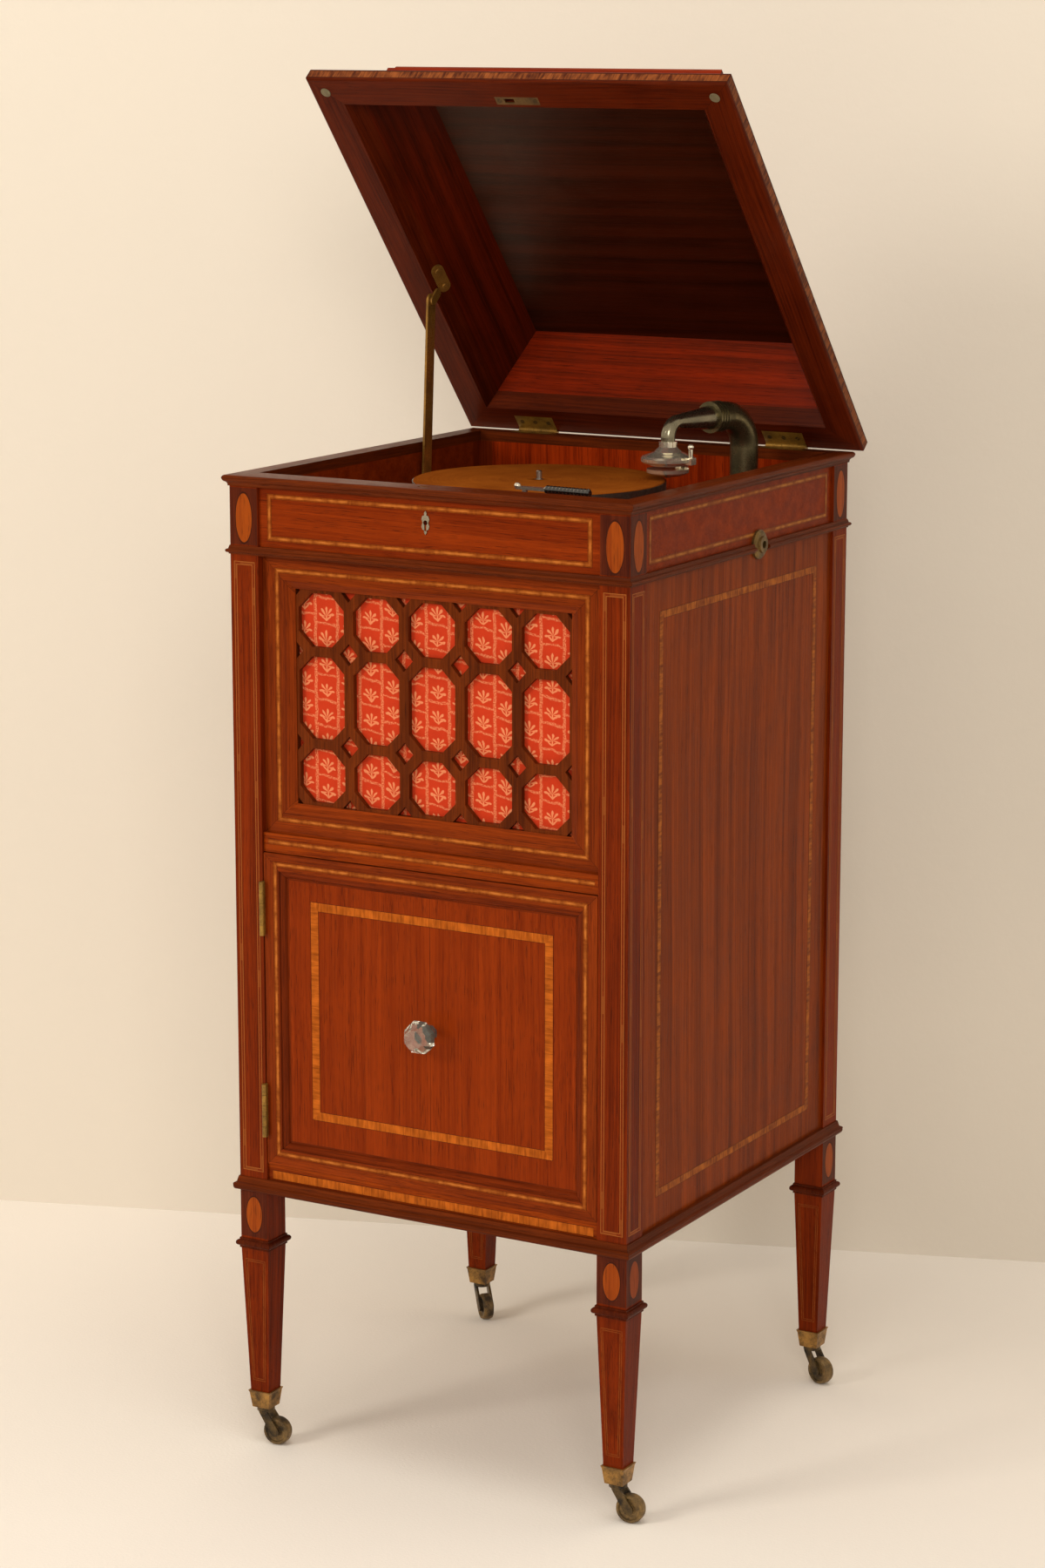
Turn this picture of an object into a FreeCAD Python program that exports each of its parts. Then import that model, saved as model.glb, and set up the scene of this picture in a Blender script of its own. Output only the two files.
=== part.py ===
import FreeCAD, Part
import math
import os

# Driving dimensions of a disc talking-machine cabinet, in millimetres and degrees.
# X runs to the right, the front faces -Y, Z is up. The floor is at zero height.

# Case
case_w = 460.0
case_d = 489.0
rim_top_z = 1038.0
post_w = 33.5
side_wall = 18.0
front_wall = 27.9
panel_recess = 3.2
rim_h = 11.0
rim_out = 6.0
mid_drop = 80.5
mid_h = 9.0
mid_out = 4.0
base_foot_z = 285.0
base_h = 14.0
base_out = 5.5
seam_gap = 0.3
overrun = 5.0

# Front openings
grille_drop = 367.0
divider_h = 20.0
bottom_rail_top_z = 316.0

# Legs and casters
collar_foot_z = 220.0
collar_h = 11.0
collar_out = 4.3
leg_foot_w = 22.5
cup_foot_z = 41.0
cup_h = 19.0
cup_wall = 1.1
cup_floor = 2.0
cup_lip_share = 0.14
leg_tip_w = 18.4
wheel_r = 15.0
wheel_w = 11.5
wheel_hub_r = 6.0
wheel_dish = 1.6
wheel_web_share = 0.72
caster_trail = 14.0
stem_r = 4.0
stem_h = 26.0
fork_crown_r = 9.5
fork_crown_h = 4.0
fork_cheek = 2.5
fork_eye_r = 5.0
axle_r = 2.2
running_gap = 0.05
side_gap = 0.4
caster_turn_deg = {"front_left": 6.0, "front_right": 7.0, "back_right": -19.0, "back_left": -42.0}

# Grille
grille_recess = 8.0
grille_frame_t = 17.5
grille_lip = 5.0
grille_bevel_w = 7.5
grille_stile_w = 36.2
grille_rail_w = 31.95
grille_edge_share = 0.8
fret_t = 6.0
fret_lap = 7.0
fret_columns = 5
fret_bar_w = 11.0
fret_bar_h = 9.8
fret_edge_w = 3.0
fret_edge_h = 3.2
fret_row_shares = (0.2805, 0.434, 0.2855)
fret_cut = 15.6
fret_diamond_w = 21.0
fret_diamond_h = 23.0
cloth_t = 0.8

# Door
door_gap = 0.9
door_free_gap = 1.2
door_recess = 1.0
door_frame_w = 17.0
door_frame_t = 8.0
door_mould_w = 10.0
door_sunk = 5.5
door_board_t = 14.0
knob_r = 18.0
knob_height_share = 0.5015
knob_waist_share = 0.86
knob_neck_r = 8.5
knob_neck_l = 9.0
knob_l = 25.0
door_open_deg = 105.0

# Butt hinges
barrel_r = 2.9
door_leaf_l = 57.0
door_leaf_w = 20.0
door_leaf_t = 1.4
door_leaf_inset_z = 30.0
lid_barrel_r = 3.2
lid_leaf_l = 48.0
lid_leaf_w = 21.4
lid_leaf_t = 2.0
lid_leaf_inset = 77.0
pin_r = 1.5
knuckles = 5
knuckle_gap = 0.3

# Lid
lid_out = 12.3
lid_axis_inset = 2.0
lid_gap = 1.0
lid_edge_h = 16.0
lid_nose_share = 0.16
lid_rail_w = 34.0
lid_depth = 72.0
lid_splay = 51.0
lid_ledge = 20.0
lid_top_inset = 52.0
lid_top_t = 9.0
lid_open_deg = 49.5
bumper_r = 5.5
bumper_inset = 18.0
bumper_proud = 0.7
bumper_h = 5.0
bumper_round_share = 0.6
strike_l = 50.0
strike_w = 10.0
strike_t = 1.5
strike_inset = 26.0

# Lid stay
stay_inset = 7.0
stay_t = 2.5
stay_w = 15.5
stay_l = 215.0
stay_pin_r = 2.5
stay_rivet_share = 1.8
stay_pivot_back = 144.8
stay_pivot_up = 151.5
stay_lean_deg = 3.4
bracket_t = 2.5
bracket_w = 14.0
bracket_l = 36.0
bracket_screw_r = 3.2
bracket_lift_share = 0.85
bracket_tab_share = 0.7
guide_slot_w = 7.0
guide_slot_reach = 182.3
guide_slot_l = 56.0
guide_margin = 6.0
guide_t = 1.5

# Lock
lock_x = -9.0
lock_case_w = 56.0
lock_case_h = 38.0
lock_case_t = 19.0
bolt_w = 10.0
bolt_t = 4.0
bolt_h = 24.0
bolt_travel = 7.0
bolt_gap = 0.6
keyhole_drop = 34.0
keyhole_r = 2.4
keyhole_slot_w = 2.2
keyhole_slot_h = 8.0
escutcheon_w = 9.0
escutcheon_h = 24.0
escutcheon_t = 1.0

# Crank entry
crank_y = 37.0
crank_drop = 73.5
crank_bore_r = 4.0
crank_rose_r = 15.0
crank_rose_t = 7.5
crank_sleeve_r = 9.0

# Boards inside
well_depth = 49.0
board_t = 13.0
cleat_w = 14.0
cleat_h = 16.0
shelf_t = 16.0
divider_t = 7.0
divider_count = 4
divider_h_share = 0.82
divider_setback = 30.0
groove_depth = 4.0

# Turntable
platter_x = 0.0
platter_y = -15.0
platter_r = 131.5
platter_h = 12.5
platter_web = 5.0
platter_rim_w = 8.0
platter_chamfer = 1.0
platter_hub_r = 15.0
felt_t = 1.5
felt_inset = 1.0
felt_drop = 15.0
spindle_tip_r = 3.0
spindle_tip_h = 8.0
spindle_seat_r = 5.0
spindle_r = 6.0
spindle_dome = 0.8
spindle_chamfer = 1.0

# Motor
motor_plate_t = 6.0
motor_top_drop = 24.0
motor_room = 74.0
pillar_r = 5.0
pillar_inset = 9.0
motor_back_y = 98.0
motor_front_y = -78.0
motor_left_x = -82.0
motor_right_x = 54.0
drive_module = 1.5
great_teeth = 60
pinion_teeth = 15
great_t = 6.0
great_drop = 8.0
pinion_extra = 2.0
barrel_drum_r = 40.0
barrel_drum_h = 48.0
barrel_lip_h = 2.0
barrel_lip_share = 0.94
governor_module = 1.0
governor_wheel_teeth = 48
governor_pinion_teeth = 12
governor_gear_t = 5.0
governor_wheel_rise = 3.0
governor_turn_deg = -62.0
governor_shaft_r = 2.0
governor_ball_r = 6.0
governor_ball_out = 13.0
governor_disc_r = 16.0
governor_disc_t = 2.5
governor_spring_w = 5.0
governor_spring_t = 1.0
bevel_module = 1.0
bevel_teeth = 16
bevel_face = 4.5
bevel_backlash = 0.3
winding_shaft_r = 3.6
arbor_r = 4.5
shaft_end_gap = 0.6
arbor_gap = 0.3

# Tone arm
neck_side = 71.0
neck_back = 50.5
arm_reach_x = 25.0
arm_reach_y = 126.0
neck_r = 15.0
neck_bore_r = 12.0
neck_bend_r = 35.0
arm_rise = 43.0
collar_r = 16.6
collar_l = 15.0
collar_rings = 3
collar_groove = 1.1
neck_drop = 113.0
tube_r = 12.6
elbow_r = 7.4
elbow_bend_r = 15.0
elbow_rise = 24.0
tube_share = 0.42
tube_wall = 2.0
box_r = 28.0
box_drop = 0.5
box_rim_h = 7.0
box_neck_r = 9.5
box_band_r = 19.0
box_band_h = 2.5
box_post_r = 2.2
box_post_h = 11.0
box_ball_r = 3.2
box_block_w = 8.0
weight_r = 22.0
weight_drop = 13.6
weight_h = 9.4
weight_pin_r = 1.6
weight_pin_l = 12.0
weight_lug_w = 5.0
weight_eye_r = 3.4
weight_gap = 0.4
swing_reach = 201.0
swing_back = 11.5
swing_pin_r = 4.5
swing_boss_r = 9.0
swing_bearing_h = 20.0
swing_in_deg = 21.0
carrier_t = 9.0
neck_slot_gap = 3.5

# Horn
horn_wall = 2.2
mouth_w_share = 0.70625
mouth_h = 160.0
mouth_rise = 91.0
mouth_behind = 20.0

# Start lever
lever_x = 71.0
lever_front = 47.6
lever_drop = 3.0
lever_r = 3.0
lever_arm_l = 23.0
lever_arm_t = 3.0
lever_arm_r = 4.2
lever_boss_r = 5.2
lever_tail_share = 0.6
lever_knob_share = 0.8
lever_tail_l = 9.0
lever_turn_deg = -5.0
handle_l = 52.0
handle_r = 4.5
handle_ribs = 12
handle_rib_depth = 0.5
lever_swing_deg = 18.0

# Places that follow from the sizes above
half_w = case_w / 2
half_d = case_d / 2
in_x = half_w - side_wall
in_back = half_d - side_wall
in_front = -half_d + front_wall
post_x = half_w - post_w
post_y = half_d - post_w
face_x = half_w - panel_recess
face_y = half_d - panel_recess
rim_foot_z = rim_top_z - rim_h
mid_foot_z = rim_top_z - mid_drop
grille_foot_z = rim_top_z - grille_drop
board_top_z = rim_top_z - well_depth
keyhole_z = rim_top_z - keyhole_drop
crank_z = rim_top_z - crank_drop
felt_top_z = rim_top_z - felt_drop
leg_x = half_w - post_w / 2
leg_y = half_d - post_w / 2
collar_top_z = collar_foot_z + collar_h
leg_top_z = cup_foot_z + cup_h
divider_foot_z = grille_foot_z - divider_h
board_foot_z = board_top_z - board_t
grille_sight_w = 2 * (post_x - seam_gap - grille_stile_w)
mouth_w = mouth_w_share * grille_sight_w
grille_sight_h = mid_foot_z - grille_foot_z - 2 * (seam_gap + grille_rail_w)
knob_z = bottom_rail_top_z + knob_height_share * (divider_foot_z - bottom_rail_top_z)
lid_axis_y = half_d + lid_out - lid_axis_inset
lid_axis_z = rim_top_z + lid_gap / 2
lid_leaf_x = half_w - lid_leaf_inset
stay_x = -in_x + stay_inset
guide_slot_front_y = lid_axis_y - guide_slot_reach
guide_slot_back_y = guide_slot_front_y + guide_slot_l
neck_x = in_x - neck_side
neck_y = in_back - neck_back
arm_axis_x = neck_x - arm_reach_x
arm_axis_y = neck_y - arm_reach_y
swing_x = neck_x - swing_reach
swing_y = in_back - swing_back
arm_z = rim_top_z + arm_rise
neck_foot_z = rim_top_z - neck_drop
elbow_foot_z = rim_top_z + elbow_rise
box_foot_z = rim_top_z - box_drop
weight_foot_z = rim_top_z - weight_drop
mouth_z = grille_foot_z + mouth_rise
lever_y = in_front + lever_front
lever_z = rim_top_z - lever_drop
door_axis_x = -post_x + door_gap / 2
door_axis_y = -half_d - barrel_r - seam_gap
door_front_y = -half_d + door_recess
lid_half_w = half_w + lid_out
lid_half_d = half_d + lid_out
crown_h = lid_depth + lid_top_t
open_rad = math.radians(lid_open_deg)
knob_front_y = door_front_y + door_sunk - knob_neck_l - knob_l
reach_back = lid_axis_y + (crown_h + lid_gap / 2) * math.sin(open_rad)
reach_back = reach_back - (lid_top_inset - lid_axis_inset) * math.cos(open_rad)
origin_y = -(reach_back + knob_front_y) / 2

X_AXIS = FreeCAD.Vector(1, 0, 0)
Y_AXIS = FreeCAD.Vector(0, 1, 0)
Z_AXIS = FreeCAD.Vector(0, 0, 1)


def vec(x, y, z):
    return FreeCAD.Vector(x, y, z)


def block(x0, x1, y0, y1, z0, z1):
    """A box between two corners."""
    return Part.makeBox(x1 - x0, y1 - y0, z1 - z0, vec(x0, y0, z0))


def rod(radius, base, tip):
    """A round bar from base to tip."""
    run = tip.sub(base)
    return Part.makeCylinder(radius, run.Length, base, run)


def polygon(points):
    """A closed flat wire through the points."""
    return Part.makePolygon(list(points) + [points[0]])


def prism(points, run):
    """A straight solid over a flat outline."""
    return Part.Face(polygon(points)).extrude(run)


def turned(profile, centre):
    """A solid of revolution about the vertical through centre: points are radius and height."""
    points = [vec(r, 0, z) for r, z in profile]
    shape = Part.Face(polygon(points)).revolve(vec(0, 0, 0), Z_AXIS, 360)
    shape.translate(centre)
    return shape


def fused(shapes):
    """One solid from touching or crossing ones."""
    shape = shapes[0].multiFuse(shapes[1:])
    return shape.removeSplitter()


def group(shapes):
    """Separate solids kept in one node."""
    return Part.makeCompound(shapes)


def section(steps, place):
    """A closed flat wire. Each step is a corner, or the middle and end of an arc."""
    edges = []
    here = place(steps[0][0], steps[0][1])
    for step in list(steps[1:]) + [steps[0]]:
        there = place(step[-2], step[-1])
        if len(step) == 4:
            edges.append(Part.Arc(here, place(step[0], step[1]), there).toShape())
        else:
            edges.append(Part.LineSegment(here, there).toShape())
        here = there
    return Part.Wire(edges)


def mitred_bars(half_x, half_y, steps, skew=1.0):
    """Four bars with mitred ends round a rectangle: front, right, back, left.

    steps hold the inset from the rectangle and the height of the corners of a bar's section;
    skew is how much wider the side bars are than the front and back ones."""
    insets = [step[-2] for step in steps]
    heights = [step[-1] for step in steps]
    wide = overrun - min(insets)
    deep = max(insets) + overrun
    low = min(heights) - overrun
    high = max(heights) + overrun
    bars = []
    for turn in range(4):
        run, gap, along, across = half_x, half_y, skew, 1.0
        if turn % 2:
            run, gap, along, across = half_y, half_x, 1.0, skew
        start = -run - wide * along
        wire = section(steps, lambda inset, z: vec(start, -gap + inset * across, z))
        bar = Part.Face(wire).extrude(vec(-2 * start, 0, 0))
        wedge = prism([vec(start, -gap - wide * across, low), vec(-start, -gap - wide * across, low),
                       vec(run - deep * along, -gap + deep * across, low),
                       vec(-run + deep * along, -gap + deep * across, low)], vec(0, 0, high - low))
        piece = bar.common(wedge).Solids[0]
        piece.rotate(vec(0, 0, 0), Z_AXIS, 90 * turn)
        bars.append(piece)
    return bars


def shared(steps, width, height, foot):
    """The steps of a section from their shares of its width and height."""
    scaled = []
    for step in steps:
        row = []
        for k in range(0, len(step), 2):
            row += [step[k] * width, foot + step[k + 1] * height]
        scaled.append(tuple(row))
    return scaled


def stand_up(shape, front_y, centre_z):
    """Turns a frame made flat on the floor to face the front at the given plane."""
    shape.rotate(vec(0, 0, 0), X_AXIS, 90)
    shape.translate(vec(0, front_y, centre_z))
    return shape


def facetted(rings):
    """A solid with flat facets between closed rings of points, one after the other."""
    faces = [Part.Face(polygon(rings[0])), Part.Face(polygon(rings[-1]))]
    for low, high in zip(rings, rings[1:]):
        count = len(low)
        for k in range(count):
            n = (k + 1) % count
            faces.append(Part.Face(polygon([low[k], low[n], high[n], high[k]])))
    solid = Part.Solid(Part.Shell(faces))
    if solid.Volume < 0:
        solid.reverse()
    return solid


def tapered_bar(stations, cx, cy):
    """A tapering square bar: stations are (width, height)."""
    rings = []
    for width, z in stations:
        h = width / 2
        rings.append([vec(cx - h, cy - h, z), vec(cx + h, cy - h, z), vec(cx + h, cy + h, z),
                      vec(cx - h, cy + h, z)])
    return facetted(rings)


def link_plate(p0, r0, p1, r1, thickness):
    """A flat link in the XY plane between two round ends, from zero height up."""
    run = p1.sub(p0)
    base = math.atan2(run.y, run.x)
    lean = math.acos((r0 - r1) / run.Length)

    def on(centre, radius, angle):
        return centre.add(vec(radius * math.cos(angle), radius * math.sin(angle), 0))

    a0, a1 = on(p0, r0, base + lean), on(p1, r1, base + lean)
    b0, b1 = on(p0, r0, base - lean), on(p1, r1, base - lean)
    edges = [Part.LineSegment(a0, a1).toShape(),
             Part.Arc(a1, on(p1, r1, base), b1).toShape(),
             Part.LineSegment(b1, b0).toShape(),
             Part.Arc(b0, on(p0, r0, base + math.pi), a0).toShape()]
    return Part.Face(Part.Wire(edges)).extrude(vec(0, 0, thickness))


def gear_points(teeth, module, scale=1.0, z=0.0):
    """Outline of a spur gear with straight flanks and play between the teeth."""
    pitch_r = teeth * module / 2 * scale
    pitch_half_share = 0.215
    tip_half_share = 0.115
    root_half_share = 0.27
    rise_share, fall_share = 0.85, -1.15
    flank_shares = ((fall_share, -root_half_share), (0.0, -pitch_half_share), (rise_share, -tip_half_share),
                    (rise_share, tip_half_share), (0.0, pitch_half_share), (fall_share, root_half_share))
    step = 2 * math.pi / teeth
    points = []
    for k in range(teeth):
        for out_share, turn_share in flank_shares:
            radius = pitch_r + out_share * module * scale
            angle = (k + turn_share) * step
            points.append(vec(radius * math.cos(angle), radius * math.sin(angle), z))
    return points


def gear(teeth, module, thickness):
    return prism(gear_points(teeth, module), vec(0, 0, thickness))


def bevel_gear(teeth, module, face):
    """A mitre bevel gear with its back at zero height and its apex above."""
    apex_h = teeth * module / 2
    rise = face * math.cos(math.radians(45))
    small = (apex_h - rise) / apex_h
    return facetted([gear_points(teeth, module), gear_points(teeth, module, small, rise)])


# Case

def corner_post(side, end):
    """A square post, rebated over the carcase corner, whose foot tapers into a leg."""
    cx, cy = side * leg_x, end * leg_y
    h = post_w / 2
    post = block(cx - h, cx + h, cy - h, cy + h, collar_foot_z, rim_foot_z)
    wall_y = in_back if end > 0 else -in_front
    rebate_x = sorted((side * (post_x - overrun), side * in_x))
    rebate_y = sorted((end * (post_y - overrun), end * wall_y))
    rebate = block(rebate_x[0], rebate_x[1], rebate_y[0], rebate_y[1], base_foot_z, rim_top_z)
    leg = tapered_bar([(leg_tip_w, cup_foot_z + cup_floor), (leg_foot_w, leg_top_z),
                       (post_w, collar_foot_z)], cx, cy)
    hole = rod(stem_r + running_gap, vec(cx, cy, cup_foot_z), vec(cx, cy, cup_foot_z + stem_h + cup_floor))
    shape = fused([post, leg]).cut(rebate).cut(hole)
    if side < 0 and end < 0:
        for z in door_leaf_feet():
            shape = shape.cut(post_leaf(z))
    return shape


def corner_posts():
    return group([corner_post(side, end) for side, end in ((-1, -1), (1, -1), (1, 1), (-1, 1))])


def leg_collars():
    """A small mitred moulding round the top of each leg."""
    shares = ((0.0, 0.0), (-0.3, 0.0), (-0.3, 0.22), (-0.66, 0.26, -1.0, 0.52), (-0.66, 0.78, -0.3, 0.82),
              (-0.3, 1.0), (0.0, 1.0))
    rings = []
    for side in (-1, 1):
        for end in (-1, 1):
            steps = shared(shares, collar_out, collar_h, collar_foot_z)
            ring = fused(mitred_bars(post_w / 2, post_w / 2, steps))
            ring.translate(vec(side * leg_x, end * leg_y, 0))
            rings.append(ring)
    return group(rings)


def post_squares(z0, z1):
    """The four posts as plain squares, to cut their places out of a moulding."""
    squares = []
    for side in (-1, 1):
        for end in (-1, 1):
            x0, x1 = sorted((side * post_x, side * half_w))
            y0, y1 = sorted((end * post_y, end * half_d))
            squares.append(block(x0, x1, y0, y1, z0, z1))
    return squares


def wall_moulding(shares, out, height, foot):
    """Mitred bars that run round the case over the posts and the recessed boards."""
    steps = [(panel_recess, foot)] + shared(shares, out, height, foot) + [(panel_recess, foot + height)]
    bars = mitred_bars(half_w, half_d, steps)
    squares = group(post_squares(foot - overrun, foot + height + overrun))
    return [bar.cut(squares) for bar in bars]


def mid_moulding():
    shares = ((-0.3, 0.0), (-0.4, 0.18), (-1.0, 0.36, -0.8, 0.56), (-0.4, 0.62), (-0.3, 0.82, -0.15, 1.0))
    bars = wall_moulding(shares, mid_out, mid_h, mid_foot_z)
    rose = rod(crank_rose_r, vec(face_x, crank_y, crank_z), vec(half_w + crank_rose_t, crank_y, crank_z))
    return group([bar.cut(rose) for bar in bars])


def base_moulding():
    shares = ((-0.8, 0.0), (-1.0, 0.15, -1.0, 0.3), (-1.0, 0.44, -0.8, 0.5), (-0.5, 0.56),
              (-0.36, 0.8, -0.2, 1.0))
    return group(wall_moulding(shares, base_out, base_h, base_foot_z))


def rim_moulding():
    """The mitred top of the case, with a nosed edge and a cove below it, and an inner strip at the front."""
    shares = ((-0.25, 0.0), (-0.38, 0.3, -0.7, 0.42), (-0.85, 0.5), (-1.0, 0.68), (-0.86, 0.92, -0.6, 1.0))
    steps = [(side_wall, rim_foot_z), (0.0, rim_foot_z)] + shared(shares, rim_out, rim_h, rim_foot_z)
    steps.append((side_wall, rim_top_z))
    bars = mitred_bars(half_w, half_d, steps)
    bars.append(block(-in_x, in_x, -half_d + side_wall, in_front, rim_foot_z, rim_top_z))
    cuts = [bolt_box(bolt_gap, rim_foot_z - overrun, rim_top_z + overrun)]
    cuts += [rim_leaf(side) for side in (-1, 1)]
    return group([bar.cut(group(cuts)) for bar in bars])


def side_panels():
    top = mid_foot_z + mid_h / 2
    panels = []
    for side in (-1, 1):
        x0, x1 = sorted((side * in_x, side * face_x))
        panel = block(x0, x1, -post_y, post_y, base_foot_z, top)
        panels.append(panel.cut(crank_hole()))
    return group(panels)


def back_panel():
    return block(-post_x, post_x, in_back, face_y, base_foot_z, rim_foot_z)


def frieze_boards():
    """The boards round the well, above the middle moulding."""
    front = block(-post_x, post_x, -face_y, in_front, mid_foot_z, rim_foot_z)
    keyway = rod(keyhole_r, vec(0, -half_d, keyhole_z), vec(0, in_front, keyhole_z))
    pocket = lock_box(0.0)
    front = front.cut(keyway).cut(pocket)
    foot = mid_foot_z + mid_h / 2
    left = block(-face_x, -in_x, -post_y, post_y, foot, rim_foot_z)
    right = block(in_x, face_x, -post_y, post_y, foot, rim_foot_z).cut(crank_hole())
    return group([front, left, right])


def front_rails():
    divider = block(-post_x, post_x, -face_y, in_front, divider_foot_z, grille_foot_z)
    bottom = block(-post_x, post_x, -face_y, in_front, base_foot_z, bottom_rail_top_z)
    return group([divider, bottom])


# Grille

def grille_size():
    """Half width, half height and centre height of the grille frame."""
    foot = grille_foot_z + seam_gap
    top = mid_foot_z - seam_gap
    return post_x - seam_gap, (top - foot) / 2, (top + foot) / 2


def grille_frame():
    """A mitred frame whose bevelled lip holds the fretwork in a rebate."""
    half_x, half_z, centre_z = grille_size()
    rail, stile = grille_rail_w, grille_stile_w
    edge = grille_lip * grille_edge_share
    steps = ((0.0, -grille_frame_t), (0.0, 0.0), (rail - grille_bevel_w, 0.0), (rail, -edge),
             (rail, -grille_lip), (rail - fret_lap - seam_gap, -grille_lip),
             (rail - fret_lap - seam_gap, -grille_frame_t))
    bars = mitred_bars(half_x, half_z, steps, stile / rail)
    return stand_up(group(bars), -half_d + grille_recess, centre_z)


def fret_rows():
    """Centre height and height of each row of octagons, from the top."""
    bars = (len(fret_row_shares) - 1) * fret_bar_h
    room = grille_sight_h - 2 * fret_edge_h - bars
    rows = []
    z = grille_sight_h / 2 - fret_edge_h
    for row_share in fret_row_shares:
        height = row_share * room
        rows.append((z - height / 2, height))
        z = z - height - fret_bar_h
    return rows


def octagon(cx, cz, width, height, cut):
    w, h = width / 2, height / 2
    spots = ((-w, -h + cut), (-w + cut, -h), (w - cut, -h), (w, -h + cut),
             (w, h - cut), (w - cut, h), (-w + cut, h), (-w, h - cut))
    return [vec(cx + x, cz + z, 0) for x, z in spots]


def diamond(cx, cz):
    w, h = fret_diamond_w / 2, fret_diamond_h / 2
    return [vec(cx - w, cz, 0), vec(cx, cz - h, 0), vec(cx + w, cz, 0), vec(cx, cz + h, 0)]


def fretwork():
    """A pierced panel: rows of long octagons with a diamond in each gap between four of them."""
    sight_x, sight_z = grille_sight_w / 2, grille_sight_h / 2
    board = block(-sight_x - fret_lap, sight_x + fret_lap, -sight_z - fret_lap, sight_z + fret_lap,
                  -fret_t, 0)
    window = block(-sight_x, sight_x, -sight_z, sight_z, -fret_t, 0)
    eye_w = (grille_sight_w - 2 * fret_edge_w - (fret_columns - 1) * fret_bar_w) / fret_columns
    pitch = eye_w + fret_bar_w
    columns = [(k - (fret_columns - 1) / 2) * pitch for k in range(fret_columns)]
    rows = fret_rows()
    through = vec(0, 0, -fret_t)
    eyes = []
    for cz, height in rows:
        for cx in columns:
            eyes.append(prism(octagon(cx, cz, eye_w, height, fret_cut), through))
    joints_z = [sight_z - fret_edge_h + fret_bar_h / 2]
    for cz, height in rows:
        joints_z.append(cz - height / 2 - fret_bar_h / 2)
    joints_x = [columns[0] - pitch / 2] + [x + pitch / 2 for x in columns]
    for cz in joints_z:
        for cx in joints_x:
            piece = prism(diamond(cx, cz), through).common(window)
            if piece.Solids:
                eyes.append(piece)
    shape = board.cut(group(eyes))
    front = -half_d + grille_recess + grille_lip
    return stand_up(shape, front, grille_size()[2])


def grille_cloth():
    """The cloth stretched over the back of the fretwork."""
    w, h = grille_sight_w / 2 + fret_lap, grille_sight_h / 2 + fret_lap
    front = -half_d + grille_recess + grille_lip + fret_t
    zc = grille_size()[2]
    return block(-w, w, front, front + cloth_t, zc - h, zc + h)


# Boards inside the case

def neck_slot():
    """The curved opening in the motor board that the gooseneck travels along."""
    out_x, out_y = neck_x - swing_x, neck_y - swing_y
    radius = math.hypot(out_x, out_y)
    start = math.degrees(math.atan2(out_y, out_x))
    half = neck_r + neck_slot_gap
    low, high = board_foot_z - overrun, board_top_z + overrun
    centre = vec(swing_x, swing_y, low)
    turn = start - swing_in_deg
    sweep = Part.makeCylinder(radius + half, high - low, centre, Z_AXIS, swing_in_deg)
    sweep = sweep.cut(Part.makeCylinder(radius - half, high - low, centre, Z_AXIS, 360))
    sweep.rotate(centre, Z_AXIS, turn)
    ends = [rod(half, vec(swing_x + radius * math.cos(a), swing_y + radius * math.sin(a), low),
                vec(swing_x + radius * math.cos(a), swing_y + radius * math.sin(a), high))
            for a in (math.radians(start), math.radians(turn))]
    return sweep.multiFuse(ends)


def guide_slot(extra):
    x0, x1 = stay_x - guide_slot_w / 2, stay_x + guide_slot_w / 2
    return block(x0, x1, guide_slot_front_y, guide_slot_back_y, board_foot_z - extra,
                 board_top_z + guide_t + extra)


def motor_board():
    board = block(-in_x, in_x, in_front, in_back, board_foot_z, board_top_z)
    spindle_way = rod(spindle_r + 2 * seam_gap, vec(platter_x, platter_y, board_foot_z),
                      vec(platter_x, platter_y, board_top_z))
    lever_way = rod(lever_r + running_gap, vec(lever_x, lever_y, board_foot_z),
                    vec(lever_x, lever_y, board_top_z))
    return board.cut(group([spindle_way, lever_way])).cut(neck_slot()).cut(guide_slot(overrun))


def board_cleats():
    """Strips on the side walls that the motor board and the chamber floor rest on."""
    strips = []
    for top, foot_gap in ((board_foot_z, cleat_h), (grille_foot_z - shelf_t, cleat_h)):
        for side in (-1, 1):
            x0, x1 = sorted((side * (in_x - cleat_w), side * in_x))
            strip = block(x0, x1, in_front + post_w, in_back - post_w, top - foot_gap, top)
            strip = strip.cut(group([stay_room(), shaft_room()]))
            strips.append(strip)
    return group(strips)


def stay_room():
    """Room below the motor board for the foot of the stay as the lid closes."""
    x0 = stay_x - guide_slot_w / 2
    return block(x0, stay_x + cleat_w, guide_slot_front_y, in_back, board_foot_z - stay_l, board_foot_z)


def shaft_room():
    """A notch in the right cleat for the winding shaft."""
    return block(in_x - cleat_w, in_x, crank_y - crank_sleeve_r, crank_y + crank_sleeve_r,
                 crank_z - crank_sleeve_r, board_foot_z)


def floor_boards():
    """The floor of the horn chamber and the bottom of the record space."""
    floor = block(-in_x, in_x, in_front, in_back, grille_foot_z - shelf_t, grille_foot_z)
    bottom = block(-in_x, in_x, in_front, in_back, base_foot_z, base_foot_z + shelf_t)
    for x in divider_places():
        floor = floor.cut(divider_board(x))
        bottom = bottom.cut(divider_board(x))
    return group([floor, bottom])


def divider_places():
    pitch = 2 * in_x / (divider_count + 1)
    return [-in_x + pitch * (k + 1) for k in range(divider_count)]


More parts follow.
